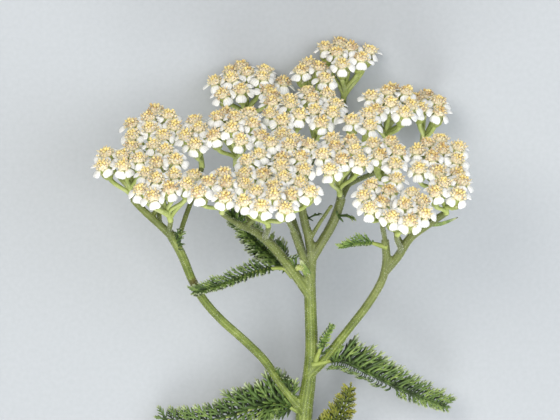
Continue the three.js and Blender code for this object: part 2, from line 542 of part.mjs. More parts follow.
// A comb cut leaf in one thin blade: a rib with a pair of leaflets at every step along it. A leaflet is widest
// at its middle and slants towards the leaf's tip.
function combLeaf({ line, face, pairs, left, right, bare, sweep, lift }, number) {
  const curve = new THREE.CatmullRomCurve3(line.map(vec), false, 'centripetal');
  const facing = vec(face).normalize();
  const points = [];
  const faces = [];
  const frameAt = (t) => {
    const along = curve.getTangent(t);
    const side = new THREE.Vector3().crossVectors(along, facing).normalize();
    return { at: curve.getPoint(t), along, side, normal: new THREE.Vector3().crossVectors(side, along) };
  };
  const place = ({ at, along, side, normal }, forward, out, up) => points.push(at.clone()
    .addScaledVector(along, forward).addScaledVector(side, out).addScaledVector(normal, up)) - 1;
  const half = BLADE_THICKNESS / 2;
  const ring = (t) => {
    const frame = frameAt(t);
    const width = LEAF_RIB * (1 - 0.45 * t);
    return [place(frame, 0, -width, half), place(frame, 0, width, half),
      place(frame, 0, width, -half), place(frame, 0, -width, -half)];
  };
  const quad = (a, b, c, d) => faces.push([a, b, c], [a, c, d]);
  let before = ring(0);
  quad(...before);
  for (let k = 0; k <= pairs; k++) {
    const t = bare + (1 - bare) * (k / pairs);
    const now = ring(t);
    quad(before[0], now[0], now[1], before[1]);
    quad(now[2], now[3], before[3], before[2]);
    const edges = { right: [before[1], now[1], now[2], before[2]], left: [before[3], now[3], now[0], before[0]] };
    if (k === 0) {
      quad(...edges.right);
      quad(...edges.left);
    } else {
      const share = (k - 0.5) / pairs;
      const swell = Math.max(0.24, Math.sin(Math.PI * (0.24 + 0.74 * share)));
      const frame = frameAt(bare + (1 - bare) * share);
      const step = (1 - bare) / pairs;
      const [last, next] = [frameAt(Math.max(0, t - 1.5 * step)), frameAt(Math.min(1, t + 0.5 * step))];
      const pitch = last.at.distanceTo(next.at) / 2;
      [[-left, 3, 0], [right, 1, 2]].forEach(([longest, p, q]) => {
        const sign = Math.sign(longest);
        // On the inside of a bend the neighbours lean over a leaflet, so it is shorter and narrower.
        const turn = Math.max(0.01, -sign * next.side.dot(frame.along), sign * last.side.dot(frame.along));
        const lean = turn / Math.cos(sweep);
        const grown = Math.abs(longest) * swell * (0.88 + 0.24 * draw(number * 7 + sign, k));
        const reach = Math.min(grown, (0.7 * pitch) / lean);
        const [out, forward] = [reach * Math.cos(sweep), reach * Math.sin(sweep)];
        if (0.55 * out < 1.2 * LEAF_RIB) {
          quad(...(sign > 0 ? edges.right : edges.left));
          return;
        }
        const wide = Math.min(0.42 * (pitch - 0.55 * reach * lean), 0.3 * reach);
        // The middle of the leaflet, near side then far side, each over and under, and its tip.
        const middle = [[-wide, half], [-wide, -half], [wide, half], [wide, -half]].map(([shift, up]) => place(
          frame, 0.55 * forward + shift, sign * 0.55 * out, lift * 0.55 * reach + up));
        const [nearUp, nearLow, farUp, farLow] = middle;
        const tip = place(frame, forward, sign * out, lift * reach);
        const [up, low] = sign > 0 ? [p, q] : [q, p];
        const patch = [
          [before[up], now[up], farUp], [before[up], farUp, nearUp], [nearUp, farUp, tip],
          [now[low], before[low], farLow], [farLow, before[low], nearLow], [farLow, nearLow, tip],
          [now[up], now[low], farLow], [now[up], farLow, farUp], [farUp, farLow, tip],
          [before[low], before[up], nearUp], [before[low], nearUp, nearLow], [nearLow, nearUp, tip],
        ];
        faces.push(...(sign > 0 ? patch : patch.map(([a, b, c]) => [a, c, b])));
      });
    }
    before = now;
  }
  const end = place(frameAt(1), 0.4 * Math.max(left, right), 0, 0);
  faces.push([before[0], end, before[1]], [before[1], end, before[2]]);
  faces.push([before[2], end, before[3]], [before[3], end, before[0]]);
  const solid = solidOf(geometryFrom(points, faces));
  return solid.volume() < 0 ? solidOf(geometryFrom(points, faces.map(([a, b, c]) => [a, c, b]))) : solid;
}

// ---- Assembly -------------------------------------------------------------------------------------------------

const GREEN = { color: 0x8f9f52, roughness: 0.62, metalness: 0 };
const WHITE = { color: 0xf3efe2, roughness: 0.58, metalness: 0 };
const LEAF_GREEN = { color: 0x4f6f33, roughness: 0.6, metalness: 0 };

// Everything stays above the surface: what would dip below is pressed flat on it.
function finished(solid) {
  return welded(solid.trimByPlane([0, 0, 1], 0));
}

function meshOf(name, solid, finish) {
  const { vertProperties, triVerts, numProp } = solid.getMesh();
  const points = [];
  for (let i = 0; i < vertProperties.length; i += numProp) {
    points.push(new THREE.Vector3(vertProperties[i], vertProperties[i + 1], vertProperties[i + 2]));
  }
  const geometry = new THREE.BufferGeometry().setFromPoints(points);
  geometry.setIndex(Array.from(triVerts));
  geometry.computeVertexNormals();
  const mesh = new THREE.Mesh(geometry, new THREE.MeshStandardMaterial(finish));
  mesh.name = name;
  return mesh;
}

const plant = new THREE.Group();
plant.name = 'yarrow';
plant.position.copy(ORIGIN).negate();

const sprays = SPRAYS.map(makeSpray);
const allHeads = sprays.flatMap((spray) => spray.heads);
spaceHeads(allHeads);
sprays.forEach(aimHeads);

const stemClearance = skeleton(sprays, GAP);
plant.add(meshOf('stem', finished(largestBody(skeleton(sprays))), GREEN));
sprays.forEach((spray) => {
  plant.add(meshOf(`spray_${spray.name}`, finished(spraySolid(spray, allHeads)), WHITE));
});
LEAVES.forEach((leaf, number) => {
  const blade = largestBody(combLeaf(leaf, number).subtract(stemClearance));
  plant.add(meshOf(leaf.name, finished(blade), LEAF_GREEN));
});

export default plant;
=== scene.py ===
# %% [markdown]
# # A cut stem of yarrow
#
# Yarrow (Achillea) holds its flowers in a broad flat top. What looks like one small flower is a head: a
# green cup of scales that holds a mound of tiny tubular florets, ringed by five white rays. A few heads on
# their own pedicels make a spray, and 25 sprays on branches make the flat top. Below it hang comb cut
# leaves.
#
# A plant like this could be scattered with particles, but then nothing would sit where the solid model has
# it. So this lesson models each small part once and sets copies of it at the places that the layout gives.

# %% The imported model and the units
import bmesh
import bpy
import json
import math
import numpy as np
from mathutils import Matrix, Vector, kdtree

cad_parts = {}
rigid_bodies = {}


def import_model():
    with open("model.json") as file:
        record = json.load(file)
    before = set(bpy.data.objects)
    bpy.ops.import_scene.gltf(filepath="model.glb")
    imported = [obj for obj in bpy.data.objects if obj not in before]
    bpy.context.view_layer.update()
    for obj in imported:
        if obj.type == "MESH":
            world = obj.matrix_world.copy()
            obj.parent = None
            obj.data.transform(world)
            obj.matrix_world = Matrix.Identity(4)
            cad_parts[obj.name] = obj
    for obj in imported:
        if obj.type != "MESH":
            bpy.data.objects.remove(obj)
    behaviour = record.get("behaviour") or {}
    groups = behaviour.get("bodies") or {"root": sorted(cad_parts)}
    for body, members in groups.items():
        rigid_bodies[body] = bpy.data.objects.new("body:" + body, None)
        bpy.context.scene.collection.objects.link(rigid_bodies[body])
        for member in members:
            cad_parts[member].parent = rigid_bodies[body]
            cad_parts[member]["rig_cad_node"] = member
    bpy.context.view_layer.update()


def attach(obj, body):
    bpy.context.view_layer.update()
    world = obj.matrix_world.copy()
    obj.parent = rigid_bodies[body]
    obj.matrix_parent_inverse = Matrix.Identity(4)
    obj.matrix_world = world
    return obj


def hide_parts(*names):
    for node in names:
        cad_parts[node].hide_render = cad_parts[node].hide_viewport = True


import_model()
bpy.ops.object.select_all(action="DESELECT")

MM = 0.001                               # every table below is in millimetres
ORIGIN = np.array((0.1, 47.0, 0.0))      # middle of the plant's outline in the tables

# %% [markdown]
# ## Camera, paper and light
#
# The stem lies on a sheet of paper, and the camera looks straight down on it. A very long lens from far
# away keeps high and low parts of the plant at nearly one scale.
#
# One large soft light could do alone, but cups under a white head would go black. So a wide key light
# stands at the upper left, a stronger one low in front shines under the heads, weaker ones stand above and
# at the right, and a pale sky lightens the rest.

# %% Camera
LENS = 500                               # in millimetres, as is the sensor's width
SENSOR = 36
CAMERA_PLACE = (-0.0006, 0.0080, 1.9444)


def show(name, data):
    """A new object of some data, linked to the scene."""
    made = bpy.data.objects.new(name, data)
    bpy.context.scene.collection.objects.link(made)
    return made


lens = bpy.data.cameras.new("camera")
lens.lens = LENS
lens.sensor_width = SENSOR
camera = show("camera", lens)
camera.location = CAMERA_PLACE
bpy.context.scene.camera = camera
print("the camera sees", round(SENSOR / LENS * CAMERA_PLACE[2] / MM, 1), "mm of paper from side to side")


# %% Colours and nodes
def paint(code):
    """An sRGB hex value as the linear colour that shaders use."""
    parts = [int(code[i:i + 2], 16) / 255 for i in (1, 3, 5)]
    return tuple(c / 12.92 if c <= 0.04045 else ((c + 0.055) / 1.055) ** 2.4 for c in parts) + (1.0,)


def fine(size):
    """The scale of a noise whose features are this many millimetres wide."""
    return 1.0 / (size * MM)


def plug(tree, node, inputs):
    """Fills a node's inputs, each with a value or with another node's output."""
    for socket, value in inputs.items():
        if isinstance(value, bpy.types.NodeSocket):
            tree.links.new(value, node.inputs[socket])
        else:
            node.inputs[socket].default_value = value


def add(tree, kind, inputs, output=0, stops=(), **settings):
    """Adds one node with its settings and links, and returns one of its outputs. A colour ramp has stops,
    each a place from 0 to 1 and a hex colour."""
    made = tree.nodes.new("ShaderNode" + kind)
    for name, value in settings.items():
        setattr(made, name, value)
    if stops:
        points = made.color_ramp.elements
        while len(points) < len(stops):
            points.new(0.5)
        for point, (place, code) in zip(points, stops):
            point.position = place
            point.color = paint(code)
    plug(tree, made, inputs)
    return made.outputs[output]


def blank(name):
    """A new material, its tree and its Principled shader."""
    made = bpy.data.materials.new(name)
    made.use_nodes = True
    return made, made.node_tree, made.node_tree.nodes["Principled BSDF"]


# %% Paper and light
LOOK_AT = Vector((0, 0.01, 0.03))        # the middle of the plant

bpy.ops.mesh.primitive_plane_add(size=9)
paper = bpy.context.object
paper.name = "studio_paper"
paper_finish, tree, skin = blank("uncoated studio paper")
place = add(tree, "TexCoord", {}, "Object")
grain = add(tree, "TexNoise", {"Vector": place, "Scale": fine(10 / 9), "Detail": 3.0})
tone = add(tree, "ValToRGB", {"Fac": grain}, stops=[(0.3, "#a9adb0"), (0.7, "#adb1b4")])
plug(tree, skin, {"Base Color": tone, "Roughness": 0.95, "Specular IOR Level": 0.2})
paper.data.materials.append(paper_finish)
paper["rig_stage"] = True


def soft_light(name, place, size, power, colour):
    """A square area light that looks at the plant and stays out of sight."""
    lamp = bpy.data.lights.new(name, "AREA")
    lamp.size = size
    lamp.energy = power
    lamp.color = paint(colour)[:3]
    made = show(name, lamp)
    made.location = place
    made.rotation_euler = (LOOK_AT - Vector(place)).to_track_quat("-Z", "Y").to_euler()
    made.visible_camera = False


soft_light("key", (-0.6, 0.45, 1.35), 0.8, 11, "#fffaf2")
soft_light("overhead", (0.1, -0.15, 1.55), 0.7, 7, "#ffffff")
soft_light("fill", (0.95, 0.0, 1.1), 1.0, 10, "#f2f6ff")
soft_light("front", (-0.1, -1.2, 0.95), 0.9, 16, "#ffffff")
sky = bpy.data.worlds.new("studio")
sky.use_nodes = True
plug(sky.node_tree, sky.node_tree.nodes["Background"], {"Color": paint("#eef0f2"), "Strength": 0.48})
bpy.context.scene.world = sky
bpy.context.scene.view_settings.view_transform = "Standard"

# %% [markdown]
# ## The layout
#
# A grown plant follows a few plain rules, and the same rules place it here. A limb is a smooth line through
# a few points. The heads of a spray spread in a sunflower spiral, push each other apart and lean outwards.
# With the rules written out, every piece knows its neighbours and ends exactly on what carries it.

# %% Directions of the plant
LEAN = math.radians(28)                  # rise of the stem above the paper
AXIS = np.array((0.0, math.cos(LEAN), math.sin(LEAN)))
FRONT = np.array((0.0, -math.sin(LEAN), math.cos(LEAN)))
SIDE = np.array((1.0, 0.0, 0.0))
UPRIGHT = np.array((0.0, 0.0, 1.0))
GOLDEN = math.radians(137.508)           # the angle by which plants place one bud after another
GAP = 0.3                                # room between a twig and the spray that it carries


def unit(v):
    """A vector of length one in the same direction."""
    return v / np.linalg.norm(v)


def draw(a, b):
    """A repeatable number from 0 to 1 for each pair of numbers."""
    s = math.sin(a * 12.9898 + b * 78.233) * 43758.5453
    return s - math.floor(s)


def jitter(width, a, b):
    """A repeatable shift, up to half a width either way."""
    return width * (draw(a, b) - 0.5)


def cross_pair(axis, across=SIDE):
    """Two directions square to an axis, the first as near to across as it can be."""
    v = unit(np.cross(axis, across))
    return unit(np.cross(v, axis)), v


print("the stem rises at", round(math.degrees(LEAN)), "degrees")


# %% Limbs: each point is x, y, z and the limb's radius there
LIMBS = {
    "main": [(5.2, -3, 1.45, 2.1), (5.6, 5, 5.9, 2.05), (6.6, 12, 9.7, 1.75), (7.3, 20.2, 14, 1.55),
             (6.9, 37, 23, 1.45), (7.3, 44.6, 27.2, 1.25)],
    "far_left": [(4.8, 5.5, 6.2, 1.3), (2.2, 8.6, 8.4, 1.2), (-0.8, 12.6, 11.4, 1.1), (-4.6, 18, 15.6, 1.05),
                 (-9.5, 22.9, 19.6, 1.05), (-14.9, 27.8, 23.6, 1.05), (-19.2, 32.7, 27.4, 1.05),
                 (-22, 37.6, 31, 1.05), (-24.6, 44, 35.6, 1.1), (-27.6, 49.6, 40, 1.15)],
    "left_fork": [(-27.4, 49, 39.6, 1.05), (-30, 51.4, 41, 0.95), (-33.6, 54.6, 40.8, 0.9),
                  (-36.6, 57.6, 39.4, 0.85)],
    "far_right": [(7, 14.4, 11.2, 1.3), (9.9, 17.1, 13.5, 1.2), (12.6, 20.6, 16.4, 1.1),
                  (16.5, 25.6, 20.6, 1.05), (21.4, 32.1, 26, 1.05), (24.7, 38, 31, 1.05),
                  (25.6, 42.6, 35.4, 1.05), (25.2, 47.6, 41, 1.0)],
    "right_fork": [(25, 39.4, 32.4, 1.05), (28.4, 43.6, 36.6, 1.1), (31.4, 48.2, 40.6, 1.05),
                   (35.4, 51.2, 44.2, 0.95), (40, 54.4, 48.4, 0.85)],
    "near_left": [(6.8, 34, 21.4, 1.3), (2.5, 40.2, 26.6, 1.25), (-1.9, 45.7, 32.6, 1.15),
                  (-6.2, 49.5, 39, 1.0), (-10.8, 51.6, 46.8, 0.85)],
    "middle": [(7.3, 43, 26.4, 1.2), (6.6, 48, 29.4, 1.1), (5.5, 52.4, 32.4, 1.05), (4.6, 57, 35.4, 1.0)],
    "middle_left": [(7, 38, 23.6, 1.0), (5.4, 42.6, 27.8, 0.95), (3.9, 46.8, 34, 0.9), (2.8, 49.8, 42, 0.85)],
    "right": [(7.3, 43, 26.4, 1.25), (9.6, 46.8, 28.6, 1.2), (12.7, 52.2, 31.4, 1.15), (14.7, 58, 34.4, 1.1)],
    "back_left": [(6.9, 36, 22.4, 1.1), (4.6, 46, 22.6, 1.0), (0.6, 58, 17, 0.9), (-4.2, 68, 9.6, 0.85)],
    "back_right": [(10.4, 48, 29, 1.1), (13.6, 55, 27.4, 1.0), (15.6, 65, 20.6, 0.95), (17, 73, 12.4, 0.9)],
}


def smooth_line(points):
    """The smooth line through some points, as a Bezier span of four control points between each two."""
    rows = np.array(points, float)
    rows = np.vstack((2 * rows[0] - rows[1], rows, 2 * rows[-1] - rows[-2]))
    spans = []
    for before, start, end, after in zip(rows, rows[1:], rows[2:], rows[3:]):
        steps = ((before, start), (start, end), (end, after))
        d0, d1, d2 = (math.sqrt(np.linalg.norm(q - p)) for p, q in steps)
        leave = ((start - before) / d0 - (end - before) / (d0 + d1) + (end - start) / d1) * d1
        arrive = ((end - start) / d1 - (after - start) / (d1 + d2) + (after - end) / d2) * d1
        spans.append((start, start + leave / 3, end - arrive / 3, end))
    return np.array(spans)


def on_line(spans, share):
    """The point at a share of the way along a line's spans."""
    place = min(max(share, 0.0), 1.0) * len(spans)
    k = min(int(place), len(spans) - 1)
    t = place - k
    a, b, c, d = spans[k]
    return (1 - t) ** 3 * a + 3 * t * (1 - t) ** 2 * b + 3 * t * t * (1 - t) * c + t ** 3 * d


def heading(spans, share):
    """The direction of a line there."""
    share = min(max(share, 0.0001), 0.9999)
    return unit(on_line(spans, share + 0.0001) - on_line(spans, share - 0.0001))


limb_lines = {name: smooth_line([row[:3] for row in rows]) for name, rows in LIMBS.items()}
print("limbs:", len(LIMBS))

# %% Sprays: name, limb, share along it, heads, middle x y z, half width, half depth, turn, stalk length
SPRAYS = [
    ("tip_left", "left_fork", 0.9, 6, -38.8, 68, 42.6, 5.6, 5.2, 0.2, 12.5),
    ("inner_left", "left_fork", 0.5, 4, -30.2, 68, 46, 3.2, 4.2, 1.1, 12.5),
    ("back_far_left", "left_fork", 0.3, 8, -31.6, 76.2, 30.6, 4.8, 6.4, 2.0, 12.5),
    ("mid_far_left", "far_left", 0.93, 4, -20.6, 73.8, 35.4, 2.6, 3.4, 0.7, 10),
    ("front_far_left", "far_left", 1, 8, -28.6, 62, 56, 7.8, 4.6, 2.6, 12.5),
    ("front_left", "near_left", 1, 6, -15.2, 61, 60.4, 6.0, 3.8, 0.4, 8.8),
    ("mid_left", "near_left", 0.8, 9, -12, 76.2, 35.6, 8.2, 7.0, 1.5, 12.5),
    ("centre_left", "near_left", 0.9, 5, -3, 66, 51.4, 4.4, 4.0, 0.1, 12.5),
    ("front_centre", "near_left", 0.62, 5, -3.4, 58.2, 65, 5.4, 5.4, 2.2, 9.5),
    ("centre_front", "middle_left", 1, 5, 1.2, 60.6, 60.6, 4.4, 4.8, 0.9, 9.5),
    ("centre", "middle", 1, 7, 1.8, 69.2, 47.2, 5.2, 7.6, 1.9, 12.5),
    ("top_centre_left", "middle", 0.9, 8, 1.2, 80.4, 27.4, 4.8, 8.2, 0.3, 12.5),
    ("top_centre_right", "middle", 0.95, 7, 8.6, 81.2, 25.2, 4.6, 7.0, 2.8, 12.5),
    ("back_left", "back_left", 1, 11, -9.4, 88.4, 8.9, 9.6, 9.2, 1.3, 12.5),
    ("back_centre", "back_right", 0.8, 4, 8.0, 89.8, 9.0, 5.4, 3.8, 0.5, 12.5),
    ("top", "back_right", 1, 7, 16.2, 94.2, 6.7, 5.8, 6.3, 1.0, 13.2),
    ("centre_right", "right", 1, 8, 15, 69.4, 47.4, 4.8, 6.8, 2.4, 13.5),
    ("small_right", "right", 0.92, 3, 19.8, 77.2, 32.6, 2.4, 3.4, 0.8, 12.5),
    ("mid_right", "right_fork", 0.35, 5, 24.4, 69.4, 45.6, 3.8, 3.8, 1.7, 12.5),
    ("back_right", "back_right", 0.6, 8, 27.2, 82.6, 17, 4.6, 7.0, 2.1, 13),
    ("back_far_right", "back_right", 0.5, 5, 36.4, 81.4, 9.4, 3.4, 4.2, 0.6, 12.5),
    ("far_right", "right_fork", 0.7, 10, 38.8, 68.8, 43, 6.4, 8.6, 1.2, 12.5),
    ("tip_right", "right_fork", 1, 4, 41.4, 60.2, 55.8, 4.6, 2.8, 2.7, 8),
    ("front_right_inner", "far_right", 1, 6, 25.4, 58.8, 61.6, 3.8, 5.4, 0.0, 9.5),
    ("front_right_outer", "right_fork", 0.3, 6, 28.8, 55.6, 63.8, 4.0, 4.4, 1.6, 9),
]

SPRAY_SPLAY = 0.0042                     # lean of a spray for each millimetre from the plant's middle
FORWARD = 0.12                           # lean of all sprays towards the front
SAG = 0.03                               # fall of a head below the middle, for each square millimetre out


def make_spray(index, row):
    """A spray with its heads on a spiral in an ellipse, not yet pushed apart."""
    name, limb, along, count, x, y, z, half_width, half_depth, turn, stalk = row
    middle = np.array((x, y, z), float)
    axis = unit(AXIS + SIDE * SPRAY_SPLAY * x + FRONT * (FORWARD + SPRAY_SPLAY * middle.dot(FRONT)))
    u, v = cross_pair(axis)
    heads = []
    for i in range(count):
        spread = math.sqrt((i + 0.5) / count)
        angle = i * GOLDEN + turn
        a = half_width * spread * math.cos(angle) + jitter(0.5, index, i)
        b = half_depth * spread * math.sin(angle) + jitter(0.5, index, i + 50)
        drop = SAG * (a * a + b * b) + jitter(0.9, index, i + 100)
        heads.append({"at": middle + a * u + b * v - drop * axis, "spray": index, "number": i})
    line = limb_lines[limb]
    return {"name": name, "node": "spray_" + name, "index": index, "middle": middle, "axis": axis,
            "hub": middle - axis * stalk, "from": on_line(line, along), "leaves": heading(line, along),
            "heads": heads}


sprays = [make_spray(index, row) for index, row in enumerate(SPRAYS)]
heads = [head for spray in sprays for head in spray["heads"]]
print("sprays:", len(sprays), "heads:", len(heads))

# %% Room between the heads
SPACING_PASSES = 14
ROOM_IN_SPRAY, ROOM_BETWEEN = 4.7, 5.7   # least distance between the middles of two heads
PUSH = 0.35                              # share of the missing room that each of the two gives

for _ in range(SPACING_PASSES):
    for i, a in enumerate(heads):
        for b in heads[i + 1:]:
            least = ROOM_IN_SPRAY if a["spray"] == b["spray"] else ROOM_BETWEEN
            away = b["at"] - a["at"]
            if abs(away[0]) >= least or abs(away[1]) >= least:
                continue
            distance = math.sqrt(away.dot(away))
            if distance < least:
                away = unit(away - AXIS * away.dot(AXIS))
                a["at"] = a["at"] - away * PUSH * (least - distance)
                b["at"] = b["at"] + away * PUSH * (least - distance)
print("heads pushed apart in", SPACING_PASSES, "passes")

# %% Lean of the heads, and the heads that rest on the paper
HEAD_SPLAY = 0.042                       # lean of a head for each millimetre from its spray's middle
CUP_LENGTH = 4.1
CUP_RADIUS = 1.5
BELLY = 0.42                             # where the solid model's cups are widest, as a share of their length
SOLID_PEDICEL_RADIUS = 0.4
PRESSED = 0.3                            # how far a cup may sink in the paper, where it is pressed flat

lifted = 0
for spray in sprays:
    for head in spray["heads"]:
        out = head["at"] - spray["middle"]
        out = out - spray["axis"] * out.dot(spray["axis"])
        head["axis"] = unit(spray["axis"] + out * HEAD_SPLAY)
        head["u"], head["v"] = cross_pair(head["axis"])
        level = math.sqrt(1 - head["axis"][2] ** 2)
        belly = head["at"][2] - BELLY * CUP_LENGTH * head["axis"][2] - CUP_RADIUS * level + PRESSED
        foot = head["at"][2] - CUP_LENGTH * head["axis"][2] - 1.2 * SOLID_PEDICEL_RADIUS * level
        head["at"] = head["at"] - np.array((0, 0, min(belly, foot, 0)))
        lifted += min(belly, foot) < 0
print("heads lifted onto the paper:", lifted)

# %% Rays of each head, which share the room with the next head
RAYS = 5
RAY_REACH = 3.35
SHORTEST_RAY = 2.2
RAY_HALF_WIDTH = 1.35
PASSING_TURN = 1.0                       # radians by which a ray points past a near head
PASSING_HEIGHT = 3.2                     # height by which a near head stands above or below a ray
TURNS_TRIED = 6                          # of which the one that leaves the longest rays is kept


def rays_from(head, near, first):
    """Five rays as angles and reaches. A ray that points at a near head ends halfway to it."""
    rays = []
    for k in range(RAYS):
        angle = first + 2 * math.pi * k / RAYS
        reach = RAY_REACH * (0.94 + 0.1 * draw(head["spray"] * 31 + head["number"], k))
        for other in near:
            d = other["at"] - head["at"]
            across, over = d.dot(head["u"]), d.dot(head["v"])
            turn = angle - math.atan2(over, across)
            turn = abs(math.atan2(math.sin(turn), math.cos(turn)))
            if turn > PASSING_TURN or abs(d.dot(head["axis"])) > PASSING_HEIGHT:
                continue
            gap = 0 if other["spray"] == head["spray"] else GAP
            room = (math.hypot(across, over) - gap) / 2 - 0.8 * RAY_HALF_WIDTH * math.sin(turn)
            reach = min(reach, max(room / math.cos(turn), SHORTEST_RAY))
        rays.append((angle, reach))
    return rays


for head in heads:
    near = [o for o in heads if o is not head and np.linalg.norm(o["at"] - head["at"]) < 2 * RAY_REACH + GAP]
    shift = draw(head["spray"], head["number"] + 150)
    turns = [2 * math.pi * (k + shift) / (RAYS * TURNS_TRIED) for k in range(TURNS_TRIED)]
    tries = [rays_from(head, near, turn) for turn in turns]
    head["rays"] = max(tries, key=lambda rays: sum(reach for _, reach in rays))
print("rays:", sum(len(head["rays"]) for head in heads))

# %% [markdown]
# ## Tools for copying
#
# A head repeats small shapes hundreds of times. Blender can instance them, but each piece has to be a mesh
# of its own, so copies are written into one mesh. Three values ride along on every point: `own`, its place
# on the model in millimetres, `mark`, a number set while modelling, and `tint`, one draw for each copy. The
# materials read them.

# %% Choosing, joining and reading shapes
def pick(made):
    """Makes one object the only selected one."""
    bpy.ops.object.select_all(action="DESELECT")
    made.select_set(True)
    bpy.context.view_layer.objects.active = made


def join(made, other):
    """Joins a second object into the first."""
    pick(made)
    other.select_set(True)
    bpy.ops.object.join()


def choose(test):
    """In edit mode, selects just the points whose place passes the test."""
    shape = bmesh.from_edit_mesh(bpy.context.edit_object.data)
    for vert in shape.verts:
        vert.select_set(bool(test(vert.co)))
    shape.select_flush_mode()
    bmesh.update_edit_mesh(bpy.context.edit_object.data)


def thicken(made, thickness):
    """Gives a sheet a wall, half of it to each side."""
    wall = made.modifiers.new("wall", "SOLIDIFY")
    wall.thickness = thickness
    wall.offset = 0
    bpy.ops.object.modifier_apply(modifier=wall.name)


def read_model(made, mark=lambda p: 0.0):
    """Takes a finished model apart into points, faces and a mark for each point, and removes the object.
    Extruding leaves them in another order on each run, so they are sorted by place."""
    bpy.ops.object.mode_set(mode="OBJECT")
    co = np.array([v.co for v in made.data.vertices], float)
    order = np.lexsort(np.round(co + 0.000013, 5).T)              # the small shift keeps ties from rounding
    rank = np.argsort(order)
    rings = [[int(rank[i]) for i in face.vertices] for face in made.data.polygons]
    faces = sorted(tuple(ring[ring.index(min(ring)):] + ring[:ring.index(min(ring))]) for ring in rings)
    co = co[order]
    bpy.data.objects.remove(made)
    return {"co": co, "faces": faces, "mark": np.array([mark(p) for p in co], float)}


# %% Copying shapes and keeping pieces
def note(mesh, name, values):
    """Writes a value for each point of a mesh, which materials read by its name."""
    mesh.attributes.new(name, "FLOAT", "POINT").data.foreach_set("value", values)


def copies(name, finish, groups):
    """One new piece made of copies. Each group is (model, places, tints). A place is a 3 by 4 matrix in
    millimetres that turns and moves the model, or a full set of points where each copy has its own bend.
    Tints are one for each copy, or one for all."""
    points, own, marks, tints, starts, corners = [], [], [], [], [], []
    base = 0
    corner_base = 0
    for model, places, draws in groups:
        places = np.asarray(places, float)
        co = model["co"]
        n, m = len(co), len(places)
        if places.shape[1:] == (3, 4):
            places = np.einsum("mij,nj->mni", places[:, :, :3], co) + places[:, None, :, 3]
        points.append(places.reshape(-1, 3))
        own.append(np.tile(co, (m, 1)))
        marks.append(np.tile(model["mark"], m))
        tints.append(np.repeat(np.broadcast_to(np.asarray(draws, float), m), n))
        flat = np.concatenate([np.array(face) for face in model["faces"]])
        sizes = np.array([len(face) for face in model["faces"]])
        first = np.concatenate(([0], np.cumsum(sizes)[:-1]))
        corners.append((flat[None, :] + n * np.arange(m)[:, None]).ravel() + base)
        starts.append((first[None, :] + len(flat) * np.arange(m)[:, None]).ravel() + corner_base)
        base += n * m
        corner_base += len(flat) * m
    lists = (points, own, marks, tints, starts, corners)
    points, own, marks, tints, starts, corners = map(np.concatenate, lists)
    points[:, 2] = np.maximum(points[:, 2], 0.0)      # what touches the paper is pressed flat on it
    mesh = bpy.data.meshes.new(name)
    mesh.vertices.add(len(points))
    mesh.vertices.foreach_set("co", ((points - ORIGIN) * MM).ravel())
    mesh.loops.add(len(corners))
    mesh.loops.foreach_set("vertex_index", corners.astype(np.int32))
    mesh.polygons.add(len(starts))
    mesh.polygons.foreach_set("loop_start", starts.astype(np.int32))
    mesh.update(calc_edges=True)
    mesh.attributes.new("own", "FLOAT_VECTOR", "POINT").data.foreach_set("vector", own.ravel())
    note(mesh, "mark", marks)
    note(mesh, "tint", tints)
    mesh.shade_smooth()
    mesh.materials.append(finish)
    return show(name, mesh)


def matrix(x, y, z, at):
    """The place of one copy from the directions of its three axes and its middle."""
    return np.column_stack((x, y, z, at))


def keep(made, nodes):
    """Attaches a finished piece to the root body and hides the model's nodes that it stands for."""
    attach(made, "root")
    for node in nodes:
        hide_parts(node)


# %% Tubes along curves
def tubes(name, finish, lines, sides_level, steps):
    """One mesh of round tubes. A line is its Bezier spans and a radius for each of their ends."""
    curve = bpy.data.curves.new(name, "CURVE")
    curve.dimensions = "3D"
    curve.bevel_depth = MM
    curve.bevel_resolution = sides_level
    curve.resolution_u = steps
    curve.use_fill_caps = True
    for spans, radii in lines:
        spline = curve.splines.new("BEZIER")
        spline.bezier_points.add(len(spans))
        for k, point in enumerate(spline.bezier_points):
            at = spans[k][0] if k < len(spans) else spans[-1][3]
            point.co = (at - ORIGIN) * MM
            point.handle_left_type = point.handle_right_type = "FREE"
            point.handle_left = ((spans[k - 1][2] if k else at) - ORIGIN) * MM
            point.handle_right = ((spans[k][1] if k < len(spans) else at) - ORIGIN) * MM
            point.radius = radii[k]
    pick(show(name, curve))
    bpy.ops.object.convert(target="MESH")
    bpy.ops.object.mode_set(mode="EDIT")
    bpy.ops.mesh.select_all(action="SELECT")
    bpy.ops.mesh.remove_doubles(threshold=1e-6)
    bpy.ops.mesh.normals_make_consistent(inside=False)
    bpy.ops.object.mode_set(mode="OBJECT")
    made = bpy.context.object
    made.data.materials.append(finish)
    made.data.shade_smooth()
    return made


# %% [markdown]
# ## Finishes
#
# Each finish starts from what the real tissue is. The stem's skin is a waxy epidermis with ridges and down,
# so it is satin. A ray is a petal full of air gaps that scatter light, so it is matt white with a little
# light passing through. Pattern sizes are real ones in millimetres.

